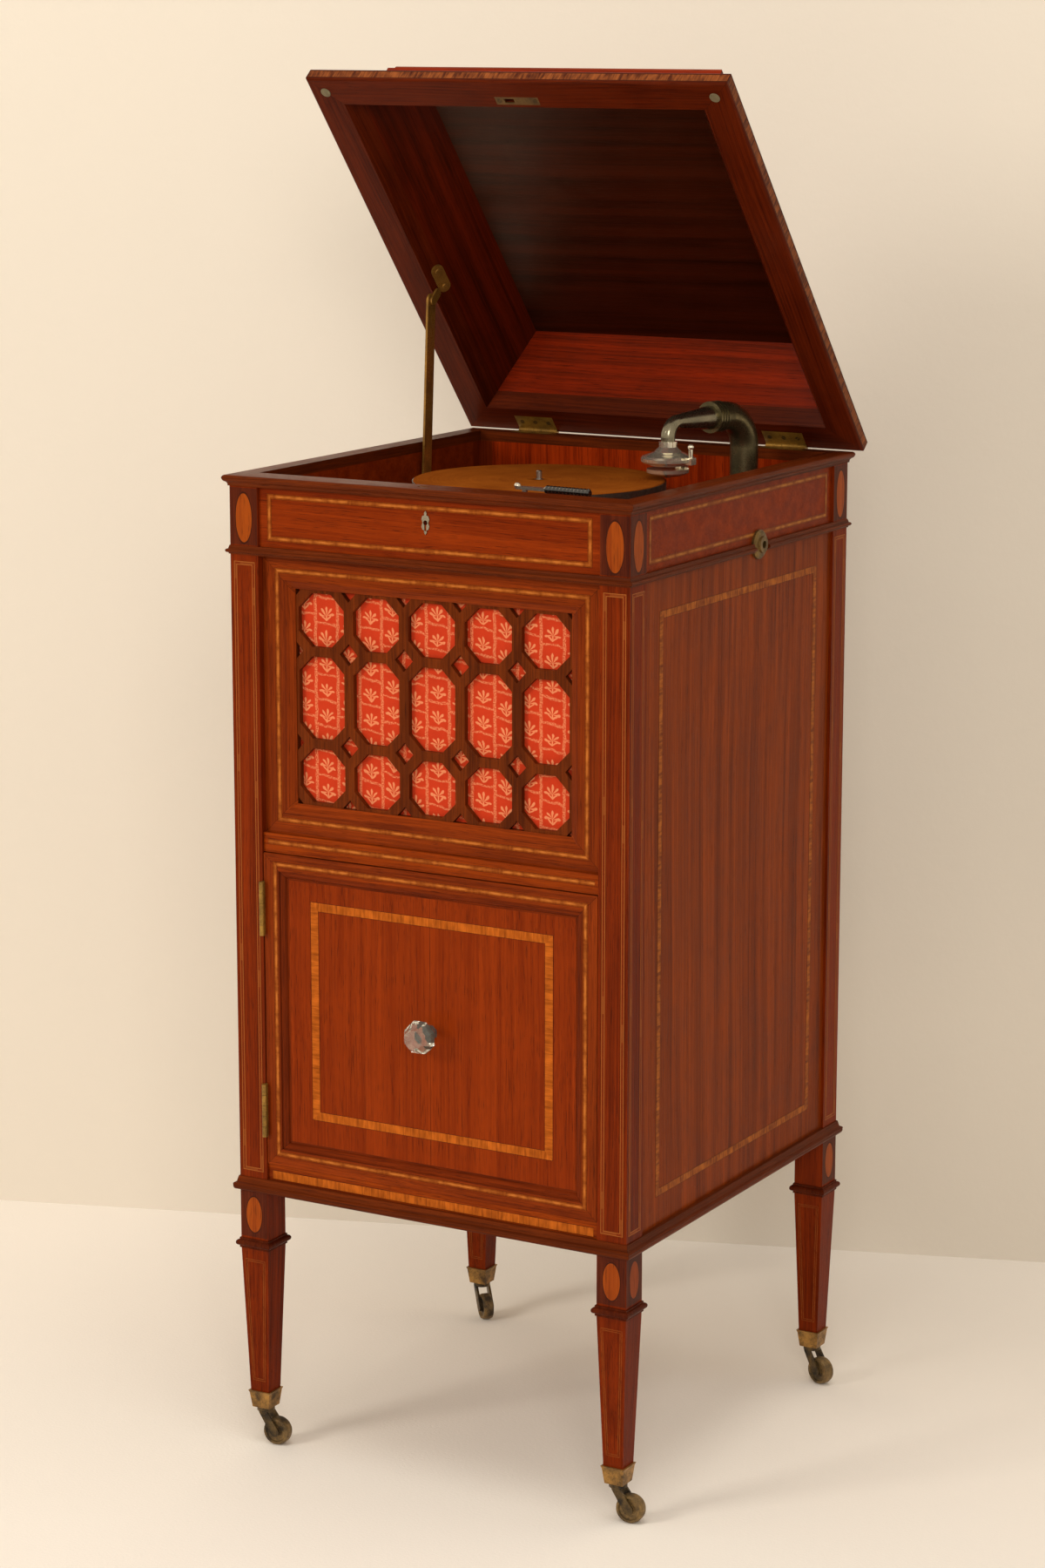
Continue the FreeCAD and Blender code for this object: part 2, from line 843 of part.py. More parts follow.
def divider_board(x):
    """A thin upright let into grooves above and below, with a hollowed front edge."""
    z0 = base_foot_z + shelf_t - groove_depth
    z1 = grille_foot_z - shelf_t + groove_depth
    front, back = in_front + divider_setback, in_back
    room = z1 - z0
    hollow = room * (1 - divider_h_share) / 2
    a, b = vec(x - divider_t / 2, front, z0 + hollow), vec(x - divider_t / 2, front, z1 - hollow)
    deep = vec(x - divider_t / 2, front + divider_setback, (z0 + z1) / 2)
    corners = [b, vec(a.x, front, z1), vec(a.x, back, z1), vec(a.x, back, z0), vec(a.x, front, z0), a]
    edges = [Part.LineSegment(corners[k], corners[k + 1]).toShape() for k in range(5)]
    edges.append(Part.Arc(a, deep, b).toShape())
    return Part.Face(Part.Wire(edges)).extrude(vec(divider_t, 0, 0))


def record_dividers():
    return group([divider_board(x) for x in divider_places()])


# Lock

def lock_box(gap):
    top = rim_foot_z
    y1 = in_front
    return block(-lock_case_w / 2 - gap, lock_case_w / 2 + gap, y1 - lock_case_t, y1,
                 top - lock_case_h - gap, top)


def bolt_y():
    """Where the bolt stands: under the strike of the closed lid."""
    return -half_d - lid_out + strike_inset


def bolt_box(gap, z0, z1):
    y = bolt_y()
    return block(lock_x - bolt_w / 2 - gap, lock_x + bolt_w / 2 + gap, y - bolt_t / 2 - gap,
                 y + bolt_t / 2 + gap,
                 z0, z1)


def lock_case():
    shape = lock_box(0.0).cut(bolt_box(bolt_gap, rim_top_z - bolt_h - bolt_gap, rim_top_z))
    y = bolt_y()
    keyway = rod(keyhole_r, vec(0, in_front - lock_case_t, keyhole_z),
                 vec(0, y + lock_case_t / 2, keyhole_z))
    return shape.cut(keyway)


def lock_bolt():
    top = rim_top_z - seam_gap
    return bolt_box(0.0, top - bolt_h, top)


def keyhole_escutcheon():
    """A slim plate with pointed ends and a keyhole."""
    w, h = escutcheon_w / 2, escutcheon_h / 2
    plate_shares = ((0.0, 1.0), (0.34, 0.8), (0.28, 0.62), (0.75, 0.56), (1.0, 0.3), (0.72, 0.0),
                    (1.0, -0.3), (0.75, -0.56), (0.28, -0.62), (0.34, -0.8), (0.0, -1.0))
    right = [(a * w, b * h) for a, b in plate_shares]
    left = [(-x, z) for x, z in reversed(right[1:-1])]
    y = -face_y
    plate = prism([vec(x, y, keyhole_z + z) for x, z in right + left], vec(0, -escutcheon_t, 0))
    eye = rod(keyhole_r, vec(0, y - escutcheon_t, keyhole_z), vec(0, y, keyhole_z))
    slot = block(-keyhole_slot_w / 2, keyhole_slot_w / 2, y - escutcheon_t, y, keyhole_z - keyhole_slot_h,
                 keyhole_z)
    return plate.cut(eye).cut(slot)


# Crank entry

def crank_hole():
    return rod(crank_sleeve_r, vec(in_x - cleat_w, crank_y, crank_z), vec(half_w, crank_y, crank_z))


def crank_escutcheon():
    """A turned brass bush in the right side with a domed rose outside."""
    length = face_x - in_x
    rose_shares = ((1.0, 0.0), (1.0, 0.35), (0.86, 0.6), (0.6, 0.7), (0.564, 1.0))
    profile = [(crank_bore_r, -length), (crank_sleeve_r, -length), (crank_sleeve_r, 0.0)]
    profile += shared(rose_shares, crank_rose_r, crank_rose_t, 0.0)
    profile.append((crank_bore_r, crank_rose_t))
    shape = turned(profile, vec(0, 0, 0))
    shape.rotate(vec(0, 0, 0), Y_AXIS, 90)
    shape.translate(vec(face_x, crank_y, crank_z))
    return shape


# Hinges

def knuckle_set(length, radius, own, axis_base, axis_way):
    """The barrel parts of one leaf: every other knuckle, bored for the pin."""
    pitch = length / knuckles
    parts = []
    for k in range(knuckles):
        if k % 2 != own:
            continue
        base = axis_base.add(axis_way * (k * pitch + knuckle_gap / 2))
        tip = axis_base.add(axis_way * ((k + 1) * pitch - knuckle_gap / 2))
        parts.append(rod(radius, base, tip))
    return parts


def knuckle_gaps(length, reach, own, axis_base, axis_way):
    """Cutters that clear a leaf plate where the other leaf's knuckles turn."""
    pitch = length / knuckles
    cuts = []
    for k in range(knuckles):
        if k % 2 == own:
            continue
        base = axis_base.add(axis_way * (k * pitch - knuckle_gap / 2))
        tip = axis_base.add(axis_way * ((k + 1) * pitch + knuckle_gap / 2))
        cuts.append(rod(reach, base, tip))
    return cuts


def butt_leaf(plate, length, radius, own, base, way):
    """One leaf with its knuckles, bored for the pin."""
    shape = fused([plate] + knuckle_set(length, radius, own, base, way))
    gaps = knuckle_gaps(length, radius + knuckle_gap, own, base, way)
    bore = rod(pin_r + running_gap, base, base.add(way * length))
    return shape.cut(group(gaps + [bore]))


def door_leaf_feet():
    top = divider_foot_z - door_gap - door_leaf_inset_z - door_leaf_l
    foot = bottom_rail_top_z + door_gap + door_leaf_inset_z
    return foot, top


def post_leaf(z):
    x1 = door_axis_x - seam_gap / 2
    return block(x1 - door_leaf_t, x1, door_axis_y, door_axis_y + door_leaf_w, z, z + door_leaf_l)


def door_leaf(z):
    x0 = door_axis_x + seam_gap / 2
    return block(x0, x0 + door_leaf_t, door_axis_y, door_axis_y + door_leaf_w, z, z + door_leaf_l)


def post_hinges():
    """The post leaves of the door's butt hinges, with their pins."""
    parts = []
    for z in door_leaf_feet():
        base = vec(door_axis_x, door_axis_y, z)
        parts.append(butt_leaf(post_leaf(z), door_leaf_l, barrel_r, 0, base, Z_AXIS))
        parts.append(rod(pin_r, base, base.add(Z_AXIS * door_leaf_l)))
    return group(parts)


def door_hinge_leaves():
    parts = []
    for z in door_leaf_feet():
        base = vec(door_axis_x, door_axis_y, z)
        parts.append(butt_leaf(door_leaf(z), door_leaf_l, barrel_r, 1, base, Z_AXIS))
    return group(parts)


def rim_leaf(side):
    """The plate of a lid hinge let into the top of the rim."""
    cx = side * lid_leaf_x
    return block(cx - lid_leaf_l / 2, cx + lid_leaf_l / 2, lid_axis_y - lid_leaf_w, lid_axis_y,
                 rim_top_z - lid_leaf_t, rim_top_z)


def lid_leaf(side):
    """The plate of a lid hinge let into the closed lid's underside."""
    cx = side * lid_leaf_x
    foot = rim_top_z + lid_gap
    return block(cx - lid_leaf_l / 2, cx + lid_leaf_l / 2, lid_axis_y - lid_leaf_w, lid_axis_y,
                 foot, foot + lid_leaf_t)


def lid_hinge_base(side):
    return vec(side * lid_leaf_x - lid_leaf_l / 2, lid_axis_y, lid_axis_z)


def rim_hinges():
    parts = []
    for side in (-1, 1):
        base = lid_hinge_base(side)
        parts.append(butt_leaf(rim_leaf(side), lid_leaf_l, lid_barrel_r, 0, base, X_AXIS))
        parts.append(rod(pin_r, base, base.add(X_AXIS * lid_leaf_l)))
    return group(parts)


def open_lid(shape):
    """Swings a piece of the closed lid to where the stay holds it."""
    shape.rotate(vec(0, lid_axis_y, lid_axis_z), X_AXIS, -lid_open_deg)
    return shape


def lid_hinge_leaves():
    parts = []
    for side in (-1, 1):
        parts.append(butt_leaf(lid_leaf(side), lid_leaf_l, lid_barrel_r, 1, lid_hinge_base(side), X_AXIS))
    return open_lid(group(parts))


# Lid, made closed and then opened

def lid_foot_z():
    return rim_top_z + lid_gap


def lid_inner_run(height):
    """How far the splayed inner wall has come in at a height above the underside."""
    return lid_splay * height / lid_depth


def lid_frame():
    """The mitred frame under the lid, nosed outside and splayed inside."""
    foot = lid_foot_z()
    nose = lid_edge_h * lid_nose_share
    middle = nose * (1 - math.cos(math.radians(45)))
    top = foot + lid_edge_h
    steps = ((lid_rail_w, foot), (nose, foot), (middle, foot + middle, 0.0, foot + nose), (0.0, top - nose),
             (middle, top - middle, nose, top), (lid_rail_w + lid_inner_run(lid_edge_h), top))
    cuts = [lid_leaf(side) for side in (-1, 1)]
    for side in (-1, 1):
        base = lid_hinge_base(side)
        cuts.append(rod(lid_barrel_r + 2 * seam_gap, base.sub(X_AXIS * seam_gap),
                        base.add(X_AXIS * (lid_leaf_l + seam_gap))))
    cuts += bumper_rods(0.0) + [strike_plate(), strike_mortise()]
    bars = mitred_bars(lid_half_w, lid_half_d, steps)
    return open_lid(group([bar.cut(group(cuts)) for bar in bars]))


def lid_sides():
    """Four splayed boards with a hollow outer face, between the frame and the top."""
    foot = lid_foot_z() + lid_edge_h
    top = lid_foot_z() + lid_depth
    rise = top - foot
    out = lid_top_inset - lid_ledge
    hollow_shares = ((0.1, 0.1), (0.6, 0.4), (0.86, 1.0))
    start, middle, end = [(lid_ledge + out * a, foot + rise * b) for a, b in hollow_shares]
    steps = ((lid_rail_w + lid_inner_run(lid_edge_h), foot), (lid_ledge, foot), (lid_ledge, start[1]),
             start, middle + end, (lid_rail_w + lid_splay, top))
    return open_lid(group(mitred_bars(lid_half_w, lid_half_d, steps)))


def lid_top():
    """The flat top panel with a nosed edge."""
    foot = lid_foot_z() + lid_depth
    nose = lid_top_t / 3
    panel = block(-lid_half_w + lid_top_inset, lid_half_w - lid_top_inset, -lid_half_d + lid_top_inset,
                  lid_half_d - lid_top_inset, foot, foot + lid_top_t)
    rim = [edge for edge in panel.Edges if edge.BoundBox.ZMin > foot + lid_top_t / 2]
    return open_lid(panel.makeFillet(nose, rim))


def bumper_rods(proud):
    rods = []
    for side in (-1, 1):
        x, y = side * (lid_half_w - bumper_inset), -lid_half_d + bumper_inset
        rods.append(rod(bumper_r, vec(x, y, lid_foot_z() - proud), vec(x, y, lid_foot_z() + bumper_h)))
    return rods


def lid_bumpers():
    buttons = []
    for button in bumper_rods(bumper_proud):
        low = [edge for edge in button.Edges if edge.BoundBox.ZMax < lid_foot_z()]
        buttons.append(button.makeFillet(bumper_proud * bumper_round_share, low))
    return open_lid(group(buttons))


def strike_plate():
    y = bolt_y()
    return block(-strike_l / 2, strike_l / 2, y - strike_w / 2, y + strike_w / 2, lid_foot_z(),
                 lid_foot_z() + strike_t)


def strike_mortise():
    top = lid_foot_z() + strike_t + bolt_travel
    return bolt_box(bolt_gap, lid_foot_z(), top)


def lock_strike():
    return open_lid(strike_plate().cut(strike_mortise()))


# Stay

def stay_pivot():
    return vec(stay_x, lid_axis_y - stay_pivot_back, lid_axis_z + stay_pivot_up)


def closed_pivot():
    """The stay's pivot carried down to the closed lid."""
    arm = math.hypot(stay_pivot_back, stay_pivot_up)
    angle = math.atan2(stay_pivot_up, stay_pivot_back) - open_rad
    return vec(stay_x, lid_axis_y - arm * math.cos(angle), lid_axis_z + arm * math.sin(angle))


def stay_bracket():
    """A two-screw plate on the lid's splayed wall, with a tab that carries the stay's rivet."""
    pivot = closed_pivot()
    foot = lid_foot_z()
    lift = bracket_w * bracket_lift_share
    half = (bracket_l - bracket_w) / 2
    plate = link_plate(vec(0, -half, 0), bracket_w / 2, vec(0, half, 0), bracket_w / 2, bracket_t)
    screws = []
    for y in (-half, half):
        screw = rod(bracket_screw_r, vec(0, y, -bracket_t / 2), vec(0, y, 0))
        screws.append(screw.makeFillet(bracket_t / 4,
                                       [edge for edge in screw.Edges if edge.BoundBox.ZMax < 0]))
    plate = fused([plate] + screws)
    plate.translate(vec(0, 0, -bracket_t))
    plate.rotate(vec(0, 0, 0), Y_AXIS, math.degrees(math.atan2(lid_splay, lid_depth)) - 90)
    plate.translate(vec(-lid_half_w + lid_rail_w + lid_inner_run(lift), pivot.y - half, foot + lift))
    tab_x = stay_x + stay_t / 2 + seam_gap
    top_r = bracket_w / 2 * bracket_tab_share
    tab = link_plate(vec(0, 0, 0), 2 * stay_pin_r, vec(foot - pivot.z, 0, 0), top_r, bracket_t)
    tab.rotate(vec(0, 0, 0), Y_AXIS, -90)
    tab.translate(vec(tab_x + bracket_t, pivot.y, pivot.z))
    far_x = stay_x - stay_t / 2 - seam_gap
    rivet = rod(stay_pin_r, vec(far_x, pivot.y, pivot.z), vec(tab_x, pivot.y, pivot.z))
    head_r = stay_pin_r * stay_rivet_share
    head = rod(head_r, vec(far_x - bracket_t / 2, pivot.y, pivot.z), vec(far_x, pivot.y, pivot.z))
    return open_lid(fused([plate, tab, rivet, head]))


def lid_stay():
    """A flat strip that hangs from the lid and slides through the guide."""
    pivot = stay_pivot()
    strip = link_plate(vec(0, 0, 0), stay_w / 2, vec(stay_l, 0, 0), stay_w / 2, stay_t)
    strip = strip.cut(rod(stay_pin_r + running_gap, vec(0, 0, 0), vec(0, 0, stay_t)))
    strip.rotate(vec(0, 0, 0), Y_AXIS, 90)
    strip.rotate(vec(0, 0, 0), X_AXIS, -stay_lean_deg)
    strip.translate(vec(stay_x - stay_t / 2, pivot.y, pivot.z))
    return strip


def stay_guide():
    """A brass plate on the motor board that the stay passes through."""
    x0, x1 = stay_x - guide_slot_w / 2, stay_x + guide_slot_w / 2 + guide_margin
    plate = block(-in_x + seam_gap, x1, guide_slot_front_y - guide_margin, guide_slot_back_y + guide_margin,
                  board_top_z, board_top_z + guide_t)
    return plate.cut(guide_slot(overrun))


# Door

def door_size():
    """Left edge, right edge, foot and top of the door."""
    return (-post_x + door_gap, post_x - door_free_gap, bottom_rail_top_z + door_gap,
            divider_foot_z - door_gap)


def door_cuts():
    """Recesses for the hinge leaves and their barrels."""
    cuts = []
    for z in door_leaf_feet():
        cuts.append(door_leaf(z))
        cuts.append(rod(barrel_r + 2 * seam_gap, vec(door_axis_x, door_axis_y, z - seam_gap),
                        vec(door_axis_x, door_axis_y, z + door_leaf_l + seam_gap)))
    return group(cuts)


def door_frame():
    """The mitred flat border of the door."""
    x0, x1, z0, z1 = door_size()
    steps = ((0.0, -door_frame_t), (0.0, 0.0), (door_frame_w, 0.0), (door_frame_w, -door_frame_t))
    frame = stand_up(group(mitred_bars((x1 - x0) / 2, (z1 - z0) / 2, steps)), door_front_y, (z0 + z1) / 2)
    frame.translate(vec((x0 + x1) / 2, 0, 0))
    return group([bar.cut(door_cuts()) for bar in frame.Solids])


def door_moulding():
    """The mitred moulding that curves from the border down to the panel."""
    x0, x1, z0, z1 = door_size()
    shares = ((0.0, -1.0), (0.0, 0.0), (0.12, 0.0), (0.12, -0.16), (0.3, -0.2), (0.6, -0.34, 0.8, -0.68),
              (1.0, -0.68), (1.0, -1.0))
    steps = shared(shares, door_mould_w, door_frame_t, 0.0)
    bars = mitred_bars((x1 - x0) / 2 - door_frame_w, (z1 - z0) / 2 - door_frame_w, steps)
    shape = stand_up(group(bars), door_front_y, (z0 + z1) / 2)
    shape.translate(vec((x0 + x1) / 2, 0, 0))
    return shape


def door_panel():
    """The veneered board behind the border; its raised middle lies inside the moulding."""
    x0, x1, z0, z1 = door_size()
    back = door_front_y + door_frame_t
    board = block(x0, x1, back, back + door_board_t, z0, z1)
    inset = door_frame_w + door_mould_w
    field = block(x0 + inset, x1 - inset, door_front_y + door_sunk, back, z0 + inset, z1 - inset)
    screw = rod(knob_neck_r / 2, vec(0, door_front_y, knob_z), vec(0, back + door_board_t, knob_z))
    return fused([board, field]).cut(screw).cut(door_cuts())


def door_knob():
    """A facetted glass knob on a short neck, its bolt through the door."""
    face = door_front_y + door_sunk
    back = door_front_y + door_frame_t + door_board_t
    facets = 8
    glass_shares = ((0.7, -0.12), (1.0, -0.42), (0.94, -0.62), (0.6, -1.0))
    rings = [(knob_neck_r, 0.0), (knob_neck_r * knob_waist_share, -knob_neck_l)]
    rings += shared(glass_shares, knob_r, knob_l, -knob_neck_l)
    loops = []
    for radius, out in rings:
        points = []
        for k in range(facets):
            angle = 2 * math.pi * (k + 0.5) / facets
            points.append(vec(radius * math.cos(angle), face + out, knob_z + radius * math.sin(angle)))
        loops.append(points)
    glass = facetted(loops)
    bolt = rod(knob_neck_r / 2, vec(0, face, knob_z), vec(0, back, knob_z))
    return fused([glass, bolt])


# Casters

def caster_cups():
    """Square brass sockets on the leg ends, with a flared lip."""
    cups = []
    for side in (-1, 1):
        for end in (-1, 1):
            cx, cy = side * leg_x, end * leg_y
            lip_z = leg_top_z - cup_h * cup_lip_share
            outer = tapered_bar([(leg_tip_w + 2 * cup_wall, cup_foot_z), (leg_foot_w + 2 * cup_wall, lip_z),
                                 (leg_foot_w + 4 * cup_wall, leg_top_z)], cx, cy)
            tenon = tapered_bar([(leg_tip_w, cup_foot_z + cup_floor), (leg_foot_w, leg_top_z)], cx, cy)
            hole = rod(stem_r + running_gap, vec(cx, cy, cup_foot_z), vec(cx, cy, leg_top_z))
            cups.append(outer.cut(tenon).cut(hole))
    return group(cups)


def caster_fork(cx, cy, turn):
    """A stem and crown with two cheeks that trail to the axle."""
    crown_top = cup_foot_z - side_gap
    crown_foot = crown_top - fork_crown_h
    stem = rod(stem_r, vec(0, 0, crown_foot), vec(0, 0, cup_foot_z + stem_h))
    crown = rod(fork_crown_r, vec(0, 0, crown_foot), vec(0, 0, crown_top))
    gap = wheel_w / 2 + side_gap
    parts = [stem, crown]
    head = vec(0, crown_foot, 0)
    eye = vec(caster_trail, wheel_r, 0)
    for side in (-1, 1):
        cheek = link_plate(head, fork_crown_h, eye, fork_eye_r, fork_cheek)
        cheek.rotate(vec(0, 0, 0), X_AXIS, 90)
        y = -gap if side < 0 else gap + fork_cheek
        cheek.translate(vec(0, y, 0))
        parts.append(cheek)
    bridge = block(-fork_crown_h, fork_crown_h, -gap - fork_cheek, gap + fork_cheek, crown_foot, crown_top)
    axle = rod(axle_r, vec(caster_trail, -gap - fork_cheek, wheel_r),
               vec(caster_trail, gap + fork_cheek, wheel_r))
    shape = fused(parts + [bridge, axle])
    shape.rotate(vec(0, 0, 0), Z_AXIS, turn)
    shape.translate(vec(cx, cy, 0))
    return shape


def caster_wheel(cx, cy, turn):
    """A turned wheel with a rounded tread and dished sides."""
    w = wheel_w / 2
    bore = axle_r + running_gap
    web_r = wheel_r * wheel_web_share
    rim_shares = ((0.78, 1.0), (0.93, 1.0), (1.0, 0.5))
    half = [(bore, w), (wheel_hub_r, w), (wheel_hub_r, w - wheel_dish), (web_r, w - wheel_dish)]
    half += shared(rim_shares, wheel_r, w, 0.0)
    profile = [(r, -z) for r, z in half] + list(reversed(half))
    shape = turned(profile, vec(0, 0, 0))
    shape.rotate(vec(0, 0, 0), X_AXIS, 90)
    shape.translate(vec(caster_trail, 0, wheel_r))
    shape.rotate(vec(0, 0, 0), Z_AXIS, turn)
    shape.translate(vec(cx, cy, 0))
    return shape


# Turntable and motor

def platter():
    """A dished turntable plate with a rim and a hub, bored for the spindle."""
    top = felt_top_z - felt_t
    foot = top - platter_h
    web = top - platter_web
    profile = ((spindle_seat_r, foot), (platter_hub_r, foot), (platter_hub_r, web),
               (platter_r - 2 * platter_rim_w, web), (platter_r - platter_rim_w, foot),
               (platter_r - platter_chamfer, foot), (platter_r, foot + platter_chamfer), (platter_r, top),
               (spindle_seat_r, top))
    return turned(profile, vec(platter_x, platter_y, 0))


def platter_felt():
    top = felt_top_z
    profile = ((spindle_seat_r, top - felt_t), (platter_r - felt_inset, top - felt_t),
               (platter_r - felt_inset, top - felt_t / 2), (platter_r - 2 * felt_inset, top),
               (spindle_seat_r, top))
    return turned(profile, vec(platter_x, platter_y, 0))


def motor_levels():
    """Heights of the top plate's foot and top, and of the bottom plate's top."""
    top = board_foot_z - motor_top_drop
    return top - motor_plate_t, top, top - motor_plate_t - motor_room


def spindle():
    """The turntable spindle with its drive pinion and the wheel that turns the governor."""
    plate_foot, plate_top, bottom_top = motor_levels()
    platter_foot = felt_top_z - felt_t - platter_h
    tip = felt_top_z + spindle_tip_h
    foot = bottom_top - motor_plate_t
    profile = ((0.0, foot), (spindle_r - spindle_chamfer, foot), (spindle_r, foot + spindle_chamfer),
               (spindle_r, platter_foot),
               (spindle_seat_r, platter_foot), (spindle_seat_r, felt_top_z), (spindle_tip_r, felt_top_z),
               (spindle_tip_r, tip), (spindle_tip_r - spindle_dome, tip + spindle_dome),
               (0.0, tip + spindle_dome))
    shaft = turned(profile, vec(0, 0, 0))
    pinion = gear(pinion_teeth, drive_module, great_t + pinion_extra)
    pinion.translate(vec(0, 0, plate_foot - great_drop - pinion_extra / 2 - great_t))
    wheel = gear(governor_wheel_teeth, governor_module, governor_gear_t)
    wheel.rotate(vec(0, 0, 0), Z_AXIS, governor_turn_deg)
    wheel.translate(vec(0, 0, bottom_top + governor_wheel_rise))
    shape = fused([shaft, pinion, wheel])
    shape.translate(vec(platter_x, platter_y, 0))
    return shape


def barrel_centre():
    """The spring barrel stands in mesh with the spindle pinion, under the winding shaft."""
    reach = (great_teeth + pinion_teeth) * drive_module / 2
    dy = crank_y - platter_y
    dx = -math.sqrt(reach * reach - dy * dy)
    return platter_x + dx, crank_y


def spring_barrel():
    """The drum that holds the mainspring, with the great wheel on its top."""
    plate_foot, plate_top, bottom_top = motor_levels()
    cx, cy = barrel_centre()
    wheel_foot = plate_foot - great_drop - great_t
    drum_foot = wheel_foot - barrel_drum_h
    bore = arbor_r + running_gap
    lip = barrel_drum_r * barrel_lip_share
    drum = turned(((bore, drum_foot), (lip, drum_foot), (barrel_drum_r, drum_foot + barrel_lip_h),
                   (barrel_drum_r, wheel_foot), (bore, wheel_foot)), vec(0, 0, 0))
    wheel = gear(great_teeth, drive_module, great_t)
    wheel = wheel.cut(rod(bore, vec(0, 0, 0), vec(0, 0, great_t)))
    wheel.translate(vec(0, 0, wheel_foot))
    shape = fused([drum, wheel])
    toward = math.degrees(math.atan2(platter_y - cy, platter_x - cx))
    step = 360.0 / great_teeth
    pinion_step = 360.0 / pinion_teeth
    from_pinion = toward + 180.0
    phase = (from_pinion / pinion_step) % 1.0
    shape.rotate(vec(0, 0, 0), Z_AXIS, toward + step * (phase + 0.5))
    shape.translate(vec(cx, cy, 0))
    return shape


def bevel_reach():
    return bevel_teeth * bevel_module / 2


def spring_arbor():
    """The upright arbor that winds the spring, with a bevel wheel on its top."""
    plate_foot, plate_top, bottom_top = motor_levels()
    cx, cy = barrel_centre()
    wheel_back = crank_z - bevel_reach()
    shaft = rod(arbor_r, vec(0, 0, bottom_top - motor_plate_t), vec(0, 0, wheel_back))
    wheel = bevel_gear(bevel_teeth, bevel_module, bevel_face)
    wheel.translate(vec(0, 0, wheel_back))
    shape = fused([shaft, wheel])
    shape.translate(vec(cx, cy, 0))
    return shape


def winding_shaft():
    """The cross shaft that the crank turns; a pin in its outer end takes the crank."""
    cx, cy = barrel_centre()
    inner = cx + bevel_reach()
    outer = in_x - shaft_end_gap
    shaft = rod(winding_shaft_r, vec(inner, cy, crank_z), vec(outer, cy, crank_z))
    wheel = bevel_gear(bevel_teeth, bevel_module, bevel_face)
    wheel.rotate(vec(0, 0, 0), Z_AXIS, 180.0 / bevel_teeth)
    wheel.rotate(vec(0, 0, 0), Y_AXIS, -90)
    wheel.translate(vec(inner, cy, crank_z))
    return fused([shaft, wheel])


def governor():
    """A spinning shaft with three balls on flat springs between a fixed hub and a sliding disc."""
    plate_foot, plate_top, bottom_top = motor_levels()
    reach = (governor_wheel_teeth + governor_pinion_teeth) * governor_module / 2
    turn = math.radians(governor_turn_deg)
    cx, cy = platter_x + reach * math.cos(turn), platter_y + reach * math.sin(turn)
    shaft = rod(governor_shaft_r, vec(0, 0, bottom_top - motor_plate_t / 2),
                vec(0, 0, plate_foot + motor_plate_t / 2))
    pinion = gear(governor_pinion_teeth, governor_module, governor_gear_t)
    pinion.rotate(vec(0, 0, 0), Z_AXIS, governor_turn_deg + 180.0 * (1 + 1 / governor_pinion_teeth))
    pinion.translate(vec(0, 0, bottom_top + governor_wheel_rise))
    low = bottom_top + governor_wheel_rise + 2 * governor_gear_t
    high = plate_foot - 2 * governor_disc_t
    mid = (low + high) / 2
    disc = rod(governor_disc_r, vec(0, 0, high - governor_disc_t), vec(0, 0, high))
    hub = rod(governor_spring_w + governor_shaft_r, vec(0, 0, low), vec(0, 0, low + governor_disc_t))
    parts = [shaft, pinion, disc, hub]
    for k in range(3):
        inner = governor_spring_w - governor_spring_t
        spring = prism([vec(inner, 0, low), vec(inner + governor_spring_t, 0, low),
                        vec(governor_ball_out, 0, mid), vec(inner + governor_spring_t, 0, high),
                        vec(inner, 0, high), vec(governor_ball_out - governor_spring_t, 0, mid)],
                       vec(0, governor_spring_w, 0))
        spring.translate(vec(0, -governor_spring_w / 2, 0))
        ball = Part.makeSphere(governor_ball_r, vec(governor_ball_out, 0, mid))
        wing = fused([spring, ball])
        wing.rotate(vec(0, 0, 0), Z_AXIS, 120.0 * k)
        parts.append(wing)
    shape = fused(parts)
    shape.translate(vec(cx, cy, 0))
    return shape


def governor_centre():
    reach = (governor_wheel_teeth + governor_pinion_teeth) * governor_module / 2
    turn = math.radians(governor_turn_deg)
    return platter_x + reach * math.cos(turn), platter_y + reach * math.sin(turn)


def motor_frame():
    """Two plates on pillars under the motor board, and the bearing of the horn carrier."""
    plate_foot, plate_top, bottom_top = motor_levels()
    plates = []
    for foot in (plate_foot, bottom_top - motor_plate_t):
        plates.append(block(motor_left_x, motor_right_x, motor_front_y, motor_back_y, foot,
                            foot + motor_plate_t))
    pillars = []
    for x in (motor_left_x + pillar_inset, motor_right_x - pillar_inset):
        for y in (motor_front_y + pillar_inset, motor_back_y - pillar_inset):
            pillars.append(rod(pillar_r, vec(x, y, bottom_top - motor_plate_t), vec(x, y, board_foot_z)))
    frame = fused(plates + pillars)
    bx, by = barrel_centre()
    gx, gy = governor_centre()
    low, high = bottom_top - motor_plate_t - overrun, plate_top + overrun
    holes = [rod(spindle_r + running_gap, vec(platter_x, platter_y, low), vec(platter_x, platter_y, high)),
             rod(arbor_r + running_gap, vec(bx, by, low), vec(bx, by, high)),
             rod(governor_shaft_r + running_gap, vec(gx, gy, bottom_top - motor_plate_t / 2 - running_gap),
                 vec(gx, gy, plate_foot + motor_plate_t / 2 + running_gap))]
    frame = frame.cut(group(holes))
    bearing = rod(swing_boss_r, vec(swing_x, swing_y, board_foot_z - swing_bearing_h),
                  vec(swing_x, swing_y, board_foot_z))
    bearing = bearing.cut(rod(swing_pin_r + running_gap,
                              vec(swing_x, swing_y, board_foot_z - swing_bearing_h),
                              vec(swing_x, swing_y, board_foot_z)))
    return group([frame, bearing])


# Tone arm and horn

def arm_way():
    """Unit direction of the arm, from the neck to the sound box."""
    run = vec(arm_axis_x - neck_x, arm_axis_y - neck_y, 0)
    return run * (1.0 / run.Length), run.Length


